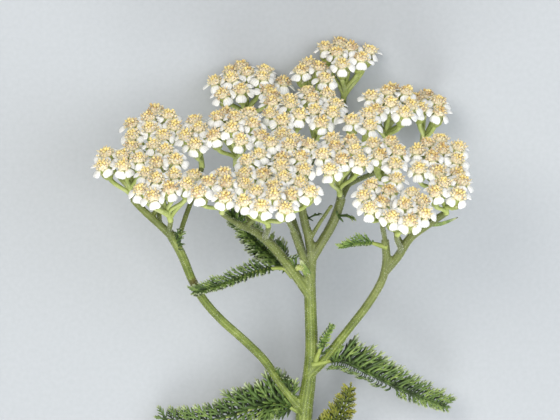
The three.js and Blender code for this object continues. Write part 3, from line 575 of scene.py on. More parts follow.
# %% Finish of the stem: waxy green skin with ridges, blotches and down
def skin_finish(name, dark, middle, pale, rough):
    """Green plant skin: paler in blotches and on its ridges, grey with down where it is young, and brown at
    a healed wound. The points of a piece carry these as `ridge`, `bloom` and `scar`."""
    made, tree, skin = blank(name)
    place = add(tree, "TexCoord", {}, "Object")
    ridge = add(tree, "Attribute", {}, "Fac", attribute_name="ridge")
    bloom = add(tree, "Attribute", {}, "Fac", attribute_name="bloom")
    scar = add(tree, "Attribute", {}, "Fac", attribute_name="scar")
    blotch = add(tree, "TexNoise", {"Vector": place, "Scale": fine(4.0), "Detail": 4.0, "Roughness": 0.6})
    down = add(tree, "TexNoise", {"Vector": place, "Scale": fine(0.35), "Detail": 2.0, "Roughness": 0.7})
    spots = add(tree, "Math", {0: ridge, 1: 0.14, 2: blotch}, operation="MULTIPLY_ADD")
    spots = add(tree, "Math", {0: down, 1: 0.35, 2: spots}, operation="MULTIPLY_ADD")
    colour = add(tree, "ValToRGB", {"Fac": spots}, stops=[(0.42, dark), (0.72, middle), (1.0, pale)])
    grey, brown = paint("#70734c"), paint("#5c4f2a")
    colour = add(tree, "Mix", {"Factor": bloom, "A": colour, "B": grey}, "Result", data_type="RGBA")
    healed = add(tree, "Math", {0: scar, 1: 0.75}, operation="MULTIPLY")
    colour = add(tree, "Mix", {"Factor": healed, "A": colour, "B": brown}, "Result", data_type="RGBA")
    bump = add(tree, "Bump", {"Height": down, "Strength": 0.35, "Distance": 0.12 * MM})
    plug(tree, skin, {"Base Color": colour, "Normal": bump, "Roughness": rough, "IOR": 1.42,
                      "Subsurface Weight": 0.08, "Subsurface Radius": (0.0006, 0.0009, 0.0003)})
    return made


stem_skin = skin_finish("ridged waxy stem skin", "#4c5a24", "#6e7c34", "#929d59", 0.5)
pedicel_skin = skin_finish("downy pedicel skin", "#88974a", "#b2bd70", "#ced3a2", 0.62)

# %% Finish of the cup's scales: olive green with a pale papery edge
# `mark` is 0 on the cup's egg, rises along each scale to its tip, and is higher at a scale's edges.
cup_scale, tree, skin = blank("papery edged cup scales")
place = add(tree, "TexCoord", {}, "Object")
mark = add(tree, "Attribute", {}, "Fac", attribute_name="mark")
tint = add(tree, "Attribute", {}, "Fac", attribute_name="tint")
streak = add(tree, "TexNoise", {"Vector": place, "Scale": fine(0.5), "Detail": 3.0})
level = add(tree, "Math", {0: streak, 1: 0.35, 2: mark}, operation="MULTIPLY_ADD")
scale = add(tree, "ValToRGB", {"Fac": level},
            stops=[(0.1, "#949f4e"), (0.45, "#b0bb68"), (0.8, "#cacd94"), (1.0, "#dcd8b4")])
value = add(tree, "MapRange", {"Value": tint, "To Min": 0.85, "To Max": 1.12})
scale = add(tree, "HueSaturation", {"Color": scale, "Value": value})
plug(tree, skin, {"Base Color": scale, "Roughness": 0.55,
                  "Subsurface Weight": 0.06, "Subsurface Radius": (0.0005, 0.0007, 0.0003)})

# %% Finish of the rays: a white petal, matt, with faint veins and a greenish cream foot that is partly painted shade under the disc
VEINS = 11.0                             # radians of the veins' wave for each millimetre across a ray

ray_petal, tree, skin = blank("white ray petal")
own = add(tree, "Attribute", {}, "Vector", attribute_name="own")
across, along = add(tree, "SeparateXYZ", {0: own}).node.outputs[:2]
wave = add(tree, "Math", {0: across, 1: VEINS}, operation="MULTIPLY")
veins = add(tree, "Math", {0: wave}, operation="COSINE")
place = add(tree, "TexCoord", {}, "Object")
crease = add(tree, "TexNoise", {"Vector": place, "Scale": fine(0.9), "Detail": 3.0})
shade = add(tree, "Math", {0: veins, 1: 0.10, 2: crease}, operation="MULTIPLY_ADD")
petal = add(tree, "ValToRGB", {"Fac": shade}, stops=[(0.3, "#dbdbd5"), (0.55, "#edede9"), (0.8, "#f7f7f4")])
# The foot is mixed towards greenish cream. This is partly the ray's own greenish base and partly painted shade
# where the foot lies under the disc.
foot = add(tree, "MapRange", {"Value": along, "From Min": 0.1, "From Max": 0.7})
petal = add(tree, "Mix", {"Factor": foot, "A": paint("#dcdcae"), "B": petal}, "Result", data_type="RGBA")
bump = add(tree, "Bump", {"Height": shade, "Strength": 0.3, "Distance": 0.08 * MM})
plug(tree, skin, {"Base Color": petal, "Normal": bump, "Roughness": 0.6, "Sheen Weight": 0.15,
                  "Subsurface Weight": 0.15, "Subsurface Radius": (0.0007, 0.0007, 0.0006)})

# %% Finish of the florets: creamy star tips, golden throats darkened with painted shade, and anthers dusted with pollen
# `mark` rises from 0 to about 0.2 on a closed bud, is 0.2 on an anther, and rises from about 1.2 in an open
# floret's throat to 2 at its tips. The florets with the lowest `tint` are old and brown.
floret_tissue, tree, skin = blank("cream florets and pollen")
place = add(tree, "TexCoord", {}, "Object")
mark = add(tree, "Attribute", {}, "Fac", attribute_name="mark")
tint = add(tree, "Attribute", {}, "Fac", attribute_name="tint")
pollen = add(tree, "TexNoise", {"Vector": place, "Scale": fine(0.25), "Detail": 2.0})
level = add(tree, "Math", {0: mark, 1: 1 / 3}, operation="MULTIPLY")
level = add(tree, "Math", {0: pollen, 1: 0.16, 2: level}, operation="MULTIPLY_ADD")
# The tan stop at 0.38 lies where the colour passes from an anther's top down into the throat. It is partly
# golden tone and partly painted shade deep in the floret.
grown = add(tree, "ValToRGB", {"Fac": level},
            stops=[(0.05, "#dcc478"), (0.12, "#ecd890"), (0.22, "#f0dfa6"), (0.38, "#e6cd98"),
                   (0.48, "#ebdab0"), (0.6, "#f1e5c6"), (0.8, "#f6efdc")])
old = add(tree, "MapRange", {"Value": tint, "From Max": 0.1, "To Min": 0.42, "To Max": 0.0})
grown = add(tree, "Mix", {"Factor": old, "A": grown, "B": paint("#b98040")}, "Result", data_type="RGBA")
value = add(tree, "MapRange", {"Value": tint, "To Min": 0.92, "To Max": 1.1})
grown = add(tree, "HueSaturation", {"Color": grown, "Value": value})
bump = add(tree, "Bump", {"Height": pollen, "Strength": 0.4, "Distance": 0.08 * MM})
plug(tree, skin, {"Base Color": grown, "Normal": bump, "Roughness": 0.75,
                  "Subsurface Weight": 0.35, "Subsurface Radius": (0.0006, 0.0005, 0.0003)})


# %% Finish of the leaves: soft green lobes with whitish tips, and painted shade at their feet and on their lower layer
def leaf_finish(name, dark, middle, pale, tip):
    """Leaf green, darker towards the foot of each leaflet, where `mark` is 0, which is painted shade where the
    leaflets crowd at the rib, and whitish at its tips, where `mark` is about 1."""
    made, tree, skin = blank(name)
    place = add(tree, "TexCoord", {}, "Object")
    mark = add(tree, "Attribute", {}, "Fac", attribute_name="mark")
    tint = add(tree, "Attribute", {}, "Fac", attribute_name="tint")
    blotch = add(tree, "TexNoise", {"Vector": place, "Scale": fine(1.6), "Detail": 4.0, "Roughness": 0.65})
    # A low tint darkens the green. The lower layer of leaflets is given a low tint, which is painted shade
    # under the upper layer.
    spots = add(tree, "Math", {0: tint, 1: 0.35, 2: blotch}, operation="MULTIPLY_ADD")
    # Painted shade: a leaflet is darker towards its foot, where the leaflets crowd at the rib.
    depth = add(tree, "MapRange", {"Value": mark, "From Max": 0.5, "To Min": -0.22, "To Max": 0.0})
    spots = add(tree, "Math", {0: spots, 1: depth}, operation="ADD")
    blade = add(tree, "ValToRGB", {"Fac": spots}, stops=[(0.4, dark), (0.65, middle), (0.95, pale)])
    ends = add(tree, "MapRange", {"Value": mark, "From Min": 0.72, "From Max": 0.97, "To Max": 0.85})
    blade = add(tree, "Mix", {"Factor": ends, "A": blade, "B": paint(tip)}, "Result", data_type="RGBA")
    bump = add(tree, "Bump", {"Height": blotch, "Strength": 0.3, "Distance": 0.1 * MM})
    plug(tree, skin, {"Base Color": blade, "Normal": bump, "Roughness": 0.55,
                      "Subsurface Weight": 0.06, "Subsurface Radius": (0.0004, 0.0008, 0.0002)})
    return made


leaf_blade = leaf_finish("soft comb leaf", "#22330f", "#4c6528", "#84984c", "#c0c9a2")
fresh_blade = leaf_finish("fresh green leaf", "#3c5a1e", "#68863a", "#96aa5a", "#c6ce9c")
young_blade = leaf_finish("yellow green young leaf", "#323c0e", "#586419", "#868628", "#b2ae5c")
bract_blade = leaf_finish("bract blade", "#5c7434", "#87984c", "#a9b36c", "#c6caa0")
leaf_rib = skin_finish("pale leaf rib", "#6a7a34", "#95a253", "#bcbe80", 0.55)

# %% Finish of the hairs: clear cell walls that look white against the green
hair_wall, tree, skin = blank("clear plant hair")
plug(tree, skin, {"Base Color": paint("#e6e9d8"), "Roughness": 0.4})
print("finishes:", [m.name for m in bpy.data.materials])

# %% [markdown]
# ## The green skeleton
#
# On the plant, branches grow out of the stem without a seam. Tubes alone would cut through each other with
# hard creases. So all limbs and twigs are laid as curves, turned into one mesh, and remeshed into a single
# skin that is then smoothed a little. The ridges of the real stem are pressed into that skin afterwards.

# %% Limbs and twigs as one skin
SHRINK = 0.05                            # what the smoothing takes off a thin limb
SKIN_GRAIN = 0.28                        # size of the skin's faces
FORK_TWIG = [(6.7, 47.4, 29.4), (9.0, 51.4, 33), (12.2, 56.2, 38)]
FORK_TWIG_RADII = [0.62, 0.55, 0.5]
TWIG_RADII = [0.66, 0.72]
HANDLE = 0.3                             # length of a twig's handles, as a share of the twig

lines = [(limb_lines[name], [row[3] + SHRINK for row in rows]) for name, rows in LIMBS.items()]
for spray in sprays:
    start, hub = spray["from"], spray["hub"]
    span = np.linalg.norm(hub - start)
    leave = unit(0.25 * spray["leaves"] + (hub - start) / span)
    arrive = unit(0.35 * spray["axis"] + (hub - start) / span)
    twig = np.array([(start, start + leave * HANDLE * span, hub - arrive * HANDLE * span, hub)])
    lines.append((twig, TWIG_RADII))
lines.append((smooth_line(FORK_TWIG), FORK_TWIG_RADII))
stem = tubes("stem_skin", stem_skin, lines, 3, 10)
remesh = stem.modifiers.new("grown_together", "REMESH")
remesh.mode = "VOXEL"
remesh.voxel_size = SKIN_GRAIN * MM
bpy.ops.object.modifier_apply(modifier=remesh.name)
soften = stem.modifiers.new("soft_forks", "SMOOTH")
soften.factor = 0.5
soften.iterations = 7
bpy.ops.object.modifier_apply(modifier=soften.name)
print("stem skin:", len(stem.data.polygons), "faces")

# %% Ridges along the limbs, an old wound and the bloom of young skin
STEM_RIDGES, LIMB_RIDGES = 12, 8
RIDGE_HEIGHT = 0.025                     # as a share of the limb's radius
FLAT_MIDDLE = 0.3                        # share of a cut end's radius that has no ridges
LINE_STEP = 0.5
WOUND = np.array((-21.8, 37.3, 31.6))    # on the far left branch, healed brown
WOUND_RADIUS = 1.3
BLOOM_FROM, BLOOM_OVER = 38, 20          # how far up young skin starts, and over what length it grows greyer

line_points, line_owner = [], []
for number, (spans, radii) in enumerate(lines):
    length = sum(np.linalg.norm(s[3] - s[0]) for s in spans)
    ends = np.linspace(0, 1, len(radii))
    for share in np.linspace(0, 1, int(length / LINE_STEP) + 2):
        line_points.append(on_line(spans, share))
        line_owner.append((number, heading(spans, share), float(np.interp(share, ends, radii))))
finder = kdtree.KDTree(len(line_points))
for i, p in enumerate(line_points):
    finder.insert(p, i)
finder.balance()

co = np.array([v.co for v in stem.data.vertices]) / MM + ORIGIN
ridge = np.zeros(len(co))
for i, p in enumerate(co):
    middle, j, _ = finder.find(p)
    number, along, radius = line_owner[j]
    off = p - np.array(middle)
    off = off - along * off.dot(along)
    u, v = cross_pair(along, UPRIGHT)
    ridges = STEM_RIDGES if number == 0 else LIMB_RIDGES
    ridge[i] = math.cos(ridges * math.atan2(off.dot(v), off.dot(u)) + number)
    size = np.linalg.norm(off)
    if size > FLAT_MIDDLE * radius:
        co[i] = p + off / size * RIDGE_HEIGHT * radius * ridge[i]
co[:, 2] = np.maximum(co[:, 2], 0.0)
stem.data.vertices.foreach_set("co", ((co - ORIGIN) * MM).ravel())
note(stem.data, "ridge", ridge)
note(stem.data, "scar", np.exp(-(np.linalg.norm(co - WOUND, axis=1) / WOUND_RADIUS) ** 4))
note(stem.data, "bloom", 0.5 * np.clip((co @ AXIS + 0.5 * co[:, 0] - BLOOM_FROM) / BLOOM_OVER, 0, 1))
stem.data.update()
stem.data.shade_smooth()
print("ridges pressed into", len(co), "points")

# %% [markdown]
# ### Bracts
#
# Small undivided leaves stand where branches leave the stem. Each is a strip that is wide in the middle,
# narrower at its foot, pointed at its tip and folded a little along its midrib, so a thin grid is shaped
# row by row and bent along its own line.

# %% Bracts: root, tip and half width
BRACTS = [((35.4, 51.2, 44.2), (43, 53.2, 46), 0.5), ((7, 38.4, 23.8), (4.4, 43, 29.6), 0.9)]
BRACT_ROWS = 8
BRACT_WALL = 0.35
BRACT_FOLD = 0.3                         # how deep its midrib lies

bpy.ops.mesh.primitive_grid_add(x_subdivisions=4, y_subdivisions=BRACT_ROWS, size=1)
strip = bpy.context.object
bpy.ops.object.mode_set(mode="EDIT")
for row in range(BRACT_ROWS + 1):
    share = row / BRACT_ROWS
    choose(lambda p: abs(p.y + 0.5 - share) < 0.01)
    wide = 0.25 + 0.75 * math.sin(math.pi * min(1, 0.15 + 0.85 * share)) if row < BRACT_ROWS else 0.08
    bpy.ops.transform.resize(value=(2 * wide, 1, 1))
choose(lambda p: abs(p.x) < 0.01)
bpy.ops.transform.translate(value=(0, 0, -BRACT_FOLD))
bpy.ops.object.mode_set(mode="OBJECT")
thicken(strip, BRACT_WALL)
bract_model = read_model(strip, lambda p: p[1] + 0.5)

places = []
for root, tip, half in BRACTS:
    root, tip = np.array(root), np.array(tip)
    along = tip - root
    bend = root + along * 0.45 + FRONT * 0.12 * np.linalg.norm(along)
    spans = smooth_line([root, bend, tip])
    points = []
    for x, y, z in bract_model["co"]:
        share = y + 0.5
        ahead = heading(spans, share)
        u, v = cross_pair(ahead, unit(np.cross(ahead, FRONT)))
        points.append(on_line(spans, share) + u * x * half - v * z * half)
    places.append(points)
bracts = copies("bracts", bract_blade, [(bract_model, places, [draw(i, 7) for i in range(len(places))])])
join(stem, bracts)
keep(stem, ["stem"])
print("bracts:", len(BRACTS))

# %% [markdown]
# ## Parts of a flower head
#
# ### A ray
#
# A ray is a thin white tongue with three blunt teeth at its end. It could be a plane with a picture on it,
# but its outline is what the eye sees. So a small grid is widened row by row, its last row is pulled into
# teeth, and the rows sink towards the tip and the edges. Solidify gives it a petal's thickness.

# %% Model of a ray, from the disc outwards along +Y
RAY_ROWS = ((0.0, 0.9, -0.05), (0.5, 1.8, 0.1), (1.0, 2.45, 0.14), (1.5, 2.65, 0.06), (1.95, 2.45, -0.12),
            (2.25, 1.8, -0.32))          # reach, width and height of each row
RAY_LENGTH = RAY_ROWS[-1][0]
LAST_ROW = len(RAY_ROWS) - 1
RAY_WALL = 0.12
ASIDE = 10                               # rows in place wait this far off, so that none is chosen twice
EDGE_FALLS = ((0.3, -0.05), (0.6, -0.07), (0.8, -0.09), (1.1, -0.12))

bpy.ops.mesh.primitive_grid_add(x_subdivisions=6, y_subdivisions=LAST_ROW, size=1)
ray = bpy.context.object
bpy.ops.object.mode_set(mode="EDIT")
for row, (reach, width, up) in enumerate(RAY_ROWS):
    start = row / LAST_ROW - 0.5
    choose(lambda p: abs(p.y - start) < 0.01 and abs(p.x) < 0.6)
    bpy.ops.transform.resize(value=(width, 1, 1))
    bpy.ops.transform.translate(value=(0, reach - start + ASIDE, up))
choose(lambda p: True)
bpy.ops.transform.translate(value=(0, -ASIDE, 0))
end = RAY_LENGTH - 0.05
choose(lambda p: p.y > end and abs(p.x) > 0.65)                   # the outer teeth end sooner
bpy.ops.transform.translate(value=(0, -0.17, 0.0))
choose(lambda p: p.y > end and 0.2 < abs(p.x) < 0.4)              # notches between the teeth
bpy.ops.transform.translate(value=(0, -0.09, -0.02))
for beyond, fall in EDGE_FALLS:
    choose(lambda p: abs(p.x) > beyond)
    bpy.ops.transform.translate(value=(0, 0, fall))
bpy.ops.object.mode_set(mode="OBJECT")
thicken(ray, RAY_WALL)
bpy.ops.object.mode_set(mode="EDIT")
bpy.ops.mesh.select_all(action="SELECT")
bpy.ops.mesh.normals_make_consistent(inside=False)
ray_model = read_model(ray)
print("ray:", len(ray_model["faces"]), "faces, width", round(float(np.ptp(ray_model["co"][:, 0])), 2), "mm")

# %% [markdown]
# ### Florets
#
# The disc is a mound of about two dozen florets. Those in the middle are still closed golden buds, and
# those at the rim have opened into five pointed stars round a column of anthers. Each is a ring of ten
# corners, extruded up and scaled; every second corner is pulled in to make the five lobes.

# %% Models of a closed and an open floret
def ring(corners, radius, z=0.0):
    """Starts a model in edit mode from a filled ring."""
    bpy.ops.mesh.primitive_circle_add(vertices=corners, radius=radius, fill_type="NGON", location=(0, 0, z))
    bpy.ops.object.transform_apply(location=True, rotation=False, scale=False)
    bpy.ops.object.mode_set(mode="EDIT")
    return bpy.context.object


def rise(height, spread):
    """Extrudes the selected ring up and scales it."""
    bpy.ops.mesh.extrude_region_move(TRANSFORM_OT_translate={"value": (0, 0, height)})
    bpy.ops.transform.resize(value=(spread, spread, 1))


def close(height):
    """Ends the selected ring in a point that much higher."""
    bpy.ops.mesh.extrude_region_move(TRANSFORM_OT_translate={"value": (0, 0, height)})
    bpy.ops.mesh.merge(type="CENTER")


def notch(level, between):
    """Pulls every second corner of the ring at one height in towards the middle."""
    choose(lambda p: abs(p.z - level) < 0.01 and round(math.atan2(p.y, p.x) / (math.pi / 5)) % 2)
    bpy.ops.transform.resize(value=(between, between, 1))
    choose(lambda p: abs(p.z - level) < 0.01)


bud = ring(10, 0.2)
rise(0.34, 1.6)
notch(0.34, 0.84)
rise(0.2, 0.72)
close(0.07)
bud_model = read_model(bud, lambda p: 0.35 * p[2])

star = ring(10, 0.15)
rise(0.3, 1.3)
rise(0.12, 2.2)
notch(0.42, 0.56)
rise(-0.06, 0.3)
rise(0.24, 0.62)
close(0.08)
star_model = read_model(star, lambda p: 0.2 if p[2] > 0.5 else 1.0 + min(1.0, 2.1 * math.hypot(p[0], p[1])))
print("florets:", len(bud_model["faces"]), "and", len(star_model["faces"]), "faces")

# %% Model of the disc's floor, a low dome that closes the gaps between florets
dome = ring(12, 1.3, -0.2)
rise(0.6, 1.1)
rise(0.4, 0.72)
rise(0.3, 0.45)
dome_model = read_model(dome, lambda p: 1.5)
print("disc floor:", len(dome_model["faces"]), "faces")

# %% [markdown]
# ### The cup
#
# Under the head, green scales overlap like roof tiles round an egg-shaped cup. The egg is a ring extruded
# and scaled six times. Each scale is a thin wedge whose foot is sunk in the egg and whose pointed tip
# stands off it. A spiral of fourteen scales reads as tiles from every side.

# %% Model of the cup, with its mouth at the head's middle
CUP_PROFILE = ((0.7, -4.2), (1.14, -3.75), (1.46, -3.0), (1.56, -2.0), (1.52, -1.1), (1.36, -0.3),
               (1.1, 0.15))              # radius and height of each ring

cup = ring(10, *CUP_PROFILE[0])
for (radius, z), (wider, above) in zip(CUP_PROFILE, CUP_PROFILE[1:]):
    rise(above - z, wider / radius)
egg = read_model(cup)
print("egg of the cup:", len(egg["faces"]), "faces")

# %% Scales of the cup
SCALES = 14
LOWEST_FOOT, FOOT_RISE = -3.5, 2.1       # height of the first scale's foot, and from there to the last one's
SCALE_LENGTH, SCALE_GROWTH = 1.35, 0.35  # length of the first scale, and how much longer the last one is
SCALE_ROWS = ((0.0, 0.32, -0.12, 0.0), (0.5, 0.5, 0.05, 0.25), (1.0, 0.0, 0.13, 0.9))
SCALE_CORNERS = ((-1, 0.0, 0.35), (0, 0.1, 0.0), (1, 0.0, 0.35), (0, -0.2, 0.0))
# A row of a scale is a share of its length, half its width, its distance off the egg and its mark. A corner
# of the row is its side, how far it is lifted off the egg, and what it adds to the mark.


def cup_radius(z):
    """The radius of the cup's egg at a height."""
    return float(np.interp(z, [row[1] for row in CUP_PROFILE], [row[0] for row in CUP_PROFILE]))


scale_points, scale_faces, scale_marks = [], [], []
for k in range(SCALES):
    angle = k * GOLDEN
    foot_z = LOWEST_FOOT + FOOT_RISE * k / (SCALES - 1)
    long = SCALE_LENGTH + SCALE_GROWTH * k / (SCALES - 1)
    base = len(egg["co"]) + len(scale_points)
    for share, half, off, mark in SCALE_ROWS:
        z = foot_z + long * share
        r = cup_radius(z)
        for side, lift, edge in SCALE_CORNERS:
            turn = side * half / r
            out = r + off + lift
            scale_points.append((out * math.cos(angle + turn), out * math.sin(angle + turn), z))
            scale_marks.append(mark + edge)
    for row in (0, 4):
        for i in range(4):
            j = (i + 1) % 4
            scale_faces.append((base + row + i, base + row + j, base + row + 4 + j, base + row + 4 + i))
    scale_faces.append(tuple(base + i for i in (3, 2, 1, 0)))
cup_model = {
    "co": np.vstack((egg["co"], scale_points)),
    "faces": egg["faces"] + scale_faces,
    "mark": np.concatenate((egg["mark"], scale_marks)),
}
print("cup:", len(cup_model["faces"]), "faces")

# %% [markdown]
# ## Sprays
#
# A spray has a short stalk from which its pedicels fan out and then turn up, each ending in a cup. A
# straight pedicel would look like wire, so each is a Bezier curve that leaves the stalk slantwise and
# arrives along its own head. Outer heads branch off lowest.

# %% Stalks, pedicels and cups
LOWEST, HIGHEST = 0.02, 0.34             # where pedicels leave the stalk, as shares of its length
STALK_RADII = [0.74, 0.7, 0.6]
PEDICEL_RADII = [0.52, 0.58, 0.84]
STALK_END = HIGHEST + 0.06
IN_TWIG, IN_CUP = 0.5, 0.2               # how far a stalk starts in its twig, and a pedicel ends in its cup


def off_axis(head, spray):
    """How far a head stands from the line of its spray."""
    return np.linalg.norm(np.cross(head["at"] - spray["hub"], spray["axis"]))


for spray in sprays:
    first = spray["heads"][0]
    low = spray["hub"] + spray["axis"] * GAP
    top = first["at"] - first["axis"] * CUP_LENGTH
    outer = sorted(spray["heads"][1:], key=lambda head: -off_axis(head, spray))
    for rank, head in enumerate(outer):
        head["rise"] = LOWEST + (HIGHEST - LOWEST) * rank / max(1, len(outer) - 1)
    first["rise"] = HIGHEST
    up = unit(top - low)
    end = low + (top - low) * STALK_END
    lines = [(smooth_line([low - spray["axis"] * IN_TWIG, low + (end - low) * 0.5, end]), STALK_RADII)]
    for head in spray["heads"]:
        root = low + (top - low) * head["rise"]
        neck = head["at"] - head["axis"] * (CUP_LENGTH - IN_CUP)
        span = np.linalg.norm(neck - root)
        away = unit(unit(neck - root) + 0.6 * up)
        pedicel = np.array([(root, root + away * 0.35 * span, neck - head["axis"] * 0.34 * span, neck)])
        lines.append((pedicel, PEDICEL_RADII))
    spray["greens"] = tubes(f"{spray['name']}_green_parts", pedicel_skin, lines, 1, 8)
    spray["places"] = [matrix(h["u"], h["v"], h["axis"], h["at"]) for h in spray["heads"]]
    tints = [draw(spray["index"] + 3, i) for i in range(len(spray["places"]))]
    join(spray["greens"], copies(f"{spray['name']}_cups", cup_scale, [(cup_model, spray["places"], tints)]))
    keep(spray["greens"], [spray["node"]])
print("green parts:", sum(len(s["greens"].data.polygons) for s in sprays), "faces")

# %% Rays and discs
BUDS, STARS = 7, 19
HINGE = 1.4                              # distance from the head's axis at which a ray folds down
LEAST_FOLD, FRONT_FOLD = 0.15, 0.76      # radians of that fold, and how many more it has at the front
FLAT_SHARE, FLATNESS = 0.35, 0.25        # share of the rays that fold less at the front, and by what factor
OVERLAP = 0.45                           # how far a ray goes on past its share of the room
LONGEST_RAY = 3.62
FRONT_RAY, FRONT_GROWTH = 3.0, 0.5       # least length of a ray, and how much more it is at the front
RAY_LIFT = 0.12
DISC_RADIUS = 1.62
DISC_HEIGHT, DISC_FALL = 1.3, 0.9        # height of the mound, and how much lower its rim is
FLOOR_TINT = 0.4


def around(head, angle):
    """The direction at an angle round a head's axis."""
    return head["u"] * math.cos(angle) + head["v"] * math.sin(angle)


def ray_place(head, seed, k, angle, reach):
    """The place of one ray."""
    out = around(head, angle + jitter(0.3, seed, k + 70))
    facing = max(0.0, out.dot(FRONT))
    flat = FLATNESS if draw(seed, k + 110) < FLAT_SHARE else 1.0
    fold = LEAST_FOLD + FRONT_FOLD * flat * facing ** 1.2
    fold += jitter(0.24, head["spray"] * 17 + head["number"], k + 10) + jitter(0.3, seed, k + 40)
    ahead = out * math.cos(fold) - head["axis"] * math.sin(fold)
    across = np.cross(out, head["axis"])
    twist = jitter(0.5, seed, k + 20)
    side = across * math.cos(twist) + np.cross(across, ahead) * math.sin(twist)
    wide = 0.98 + 0.16 * draw(seed, k + 50)
    long = max(min(reach + OVERLAP, LONGEST_RAY), FRONT_RAY + FRONT_GROWTH * facing) - HINGE
    at = head["at"] + out * HINGE + head["axis"] * RAY_LIFT
    return matrix(side * wide, ahead * long / RAY_LENGTH, np.cross(side, ahead), at)


def floret_place(head, seed, i):
    """The place of one floret in the spiral on the mound, leaning outwards the nearer it is to the rim."""
    share = math.sqrt((i + 0.5) / (BUDS + STARS))
    out = around(head, i * GOLDEN + 6 * draw(seed, 3))
    lean = 1.1 * share + jitter(0.25, seed, i + 60)
    up = head["axis"] * math.cos(lean) + out * math.sin(lean)
    at = head["at"] + out * DISC_RADIUS * share + head["axis"] * (DISC_HEIGHT - DISC_FALL * share ** 2)
    u, v = cross_pair(up, around(head, i))
    size = 0.88 + 0.32 * draw(seed, i + 90)
    tall = 0.78 + draw(seed, i + 180) ** 2
    return matrix(u * size, v * size, up * size * tall, at)


for spray in sprays:
    rays, buds, stars = [], [], []
    bud_tints, star_tints = [], []
    for head in spray["heads"]:
        seed = spray["index"] * 40 + head["number"]
        age = 0.5 * draw(seed, 5) - 0.2
        rays += [ray_place(head, seed, k, angle, reach) for k, (angle, reach) in enumerate(head["rays"])]
        florets = [floret_place(head, seed, i) for i in range(BUDS + STARS)]
        tints = [draw(seed, i + 120) - age for i in range(BUDS + STARS)]
        buds += florets[:BUDS]
        bud_tints += tints[:BUDS]
        stars += florets[BUDS:]
        star_tints += tints[BUDS:]
    rays = copies(f"{spray['name']}_rays", ray_petal, [(ray_model, rays, 0.0)])
    keep(rays, [spray["node"]])
    groups = [(bud_model, buds, bud_tints), (star_model, stars, star_tints),
              (dome_model, spray["places"], FLOOR_TINT)]
    discs = copies(f"{spray['name']}_discs", floret_tissue, groups)
    keep(discs, [spray["node"]])
    spray["faces"] = len(rays.data.polygons) + len(discs.data.polygons)
print("rays and discs:", sum(s["faces"] for s in sprays), "faces")

# %% [markdown]
# ## Leaves
#
# A yarrow leaf is cut like a comb, and each tooth of the comb is cut again into narrow lobes. Modelled as
# one flat sheet it would look like paper. So one lobe is modelled, lobes make a leaflet, and leaflets are
# bent one by one along the rib: they overlap, tilt out of the leaf's plane and curl, as the real ones do.

# %% Model of a lobe, from its foot along +X, one unit long
LOBE_WIDTH = 0.26
UPTURN = 0.12                            # how much a lobe's tip turns up
FLATTENED = 0.7                          # thickness of a lobe, as a share of its width

lobe = ring(5, LOBE_WIDTH / 2)
rise(0.35, 1.25)
rise(0.35, 0.85)
rise(0.22, 0.55)
close(0.08)
lobe_points = read_model(lobe)
lobe_faces = lobe_points["faces"]
lobe_points = lobe_points["co"][:, [2, 0, 1]]
print("lobe:", len(lobe_faces), "faces")


# %% Leaflets
def leaflet(long, stout, lobes):
    """A leaflet in millimetres: its midrib and lobes, each a place, length, turn, tilt and thickness."""
    co, faces, mark = [], [], []
    for place, length, turn, tilt, thick in [(0.0, long, 0.0, 0.0, stout)] + lobes:
        base = len(co)
        for x, y, z in lobe_points:
            bow = UPTURN * x * x * length
            x, y, z = x * length, y * thick / LOBE_WIDTH, z * thick * FLATTENED / LOBE_WIDTH + bow
            x, z = x * math.cos(tilt) - z * math.sin(tilt), x * math.sin(tilt) + z * math.cos(tilt)
            x, y = x * math.cos(turn) - y * math.sin(turn), x * math.sin(turn) + y * math.cos(turn)
            co.append((place + x, y, z))
            mark.append((place + x) / long)
        faces += [tuple(base + i for i in face) for face in lobe_faces]
    return {"co": np.array(co), "faces": faces, "mark": np.array(mark), "long": long}


LEAFLETS = {
    "strip": leaflet(6.0, 0.44, [
        (0.0, 1.5, 1.0, 0.1, 0.4), (0.0, 1.5, -1.0, 0.1, 0.4), (2.0, 1.9, 0.42, 0.15, 0.34),
        (2.6, 1.8, -0.42, -0.1, 0.34), (3.7, 1.4, 0.42, 0.1, 0.32), (4.2, 1.2, -0.42, 0.0, 0.32)]),
    "fan": leaflet(6.0, 0.46, [
        (0.3, 2.4, 0.7, 0.2, 0.42), (0.6, 2.4, -0.7, 0.0, 0.42), (1.6, 2.4, 0.52, 0.12, 0.42),
        (2.1, 2.3, -0.52, 0.1, 0.42), (2.9, 2.1, 0.46, 0.2, 0.4), (3.4, 1.8, -0.46, 0.0, 0.4),
        (4.2, 1.4, 0.44, 0.1, 0.38), (4.6, 1.1, -0.44, 0.1, 0.36)]),
    "short": leaflet(3.0, 0.44, [
        (0.0, 1.1, 0.9, 0.2, 0.4), (0.0, 1.1, -0.9, 0.0, 0.4), (0.9, 1.2, 0.42, 0.1, 0.36),
        (1.2, 1.1, -0.42, 0.1, 0.34), (1.9, 0.8, 0.42, 0.1, 0.32), (2.1, 0.7, -0.42, 0.0, 0.3)]),
}
print("leaflets:", {kind: len(model["faces"]) for kind, model in LEAFLETS.items()})

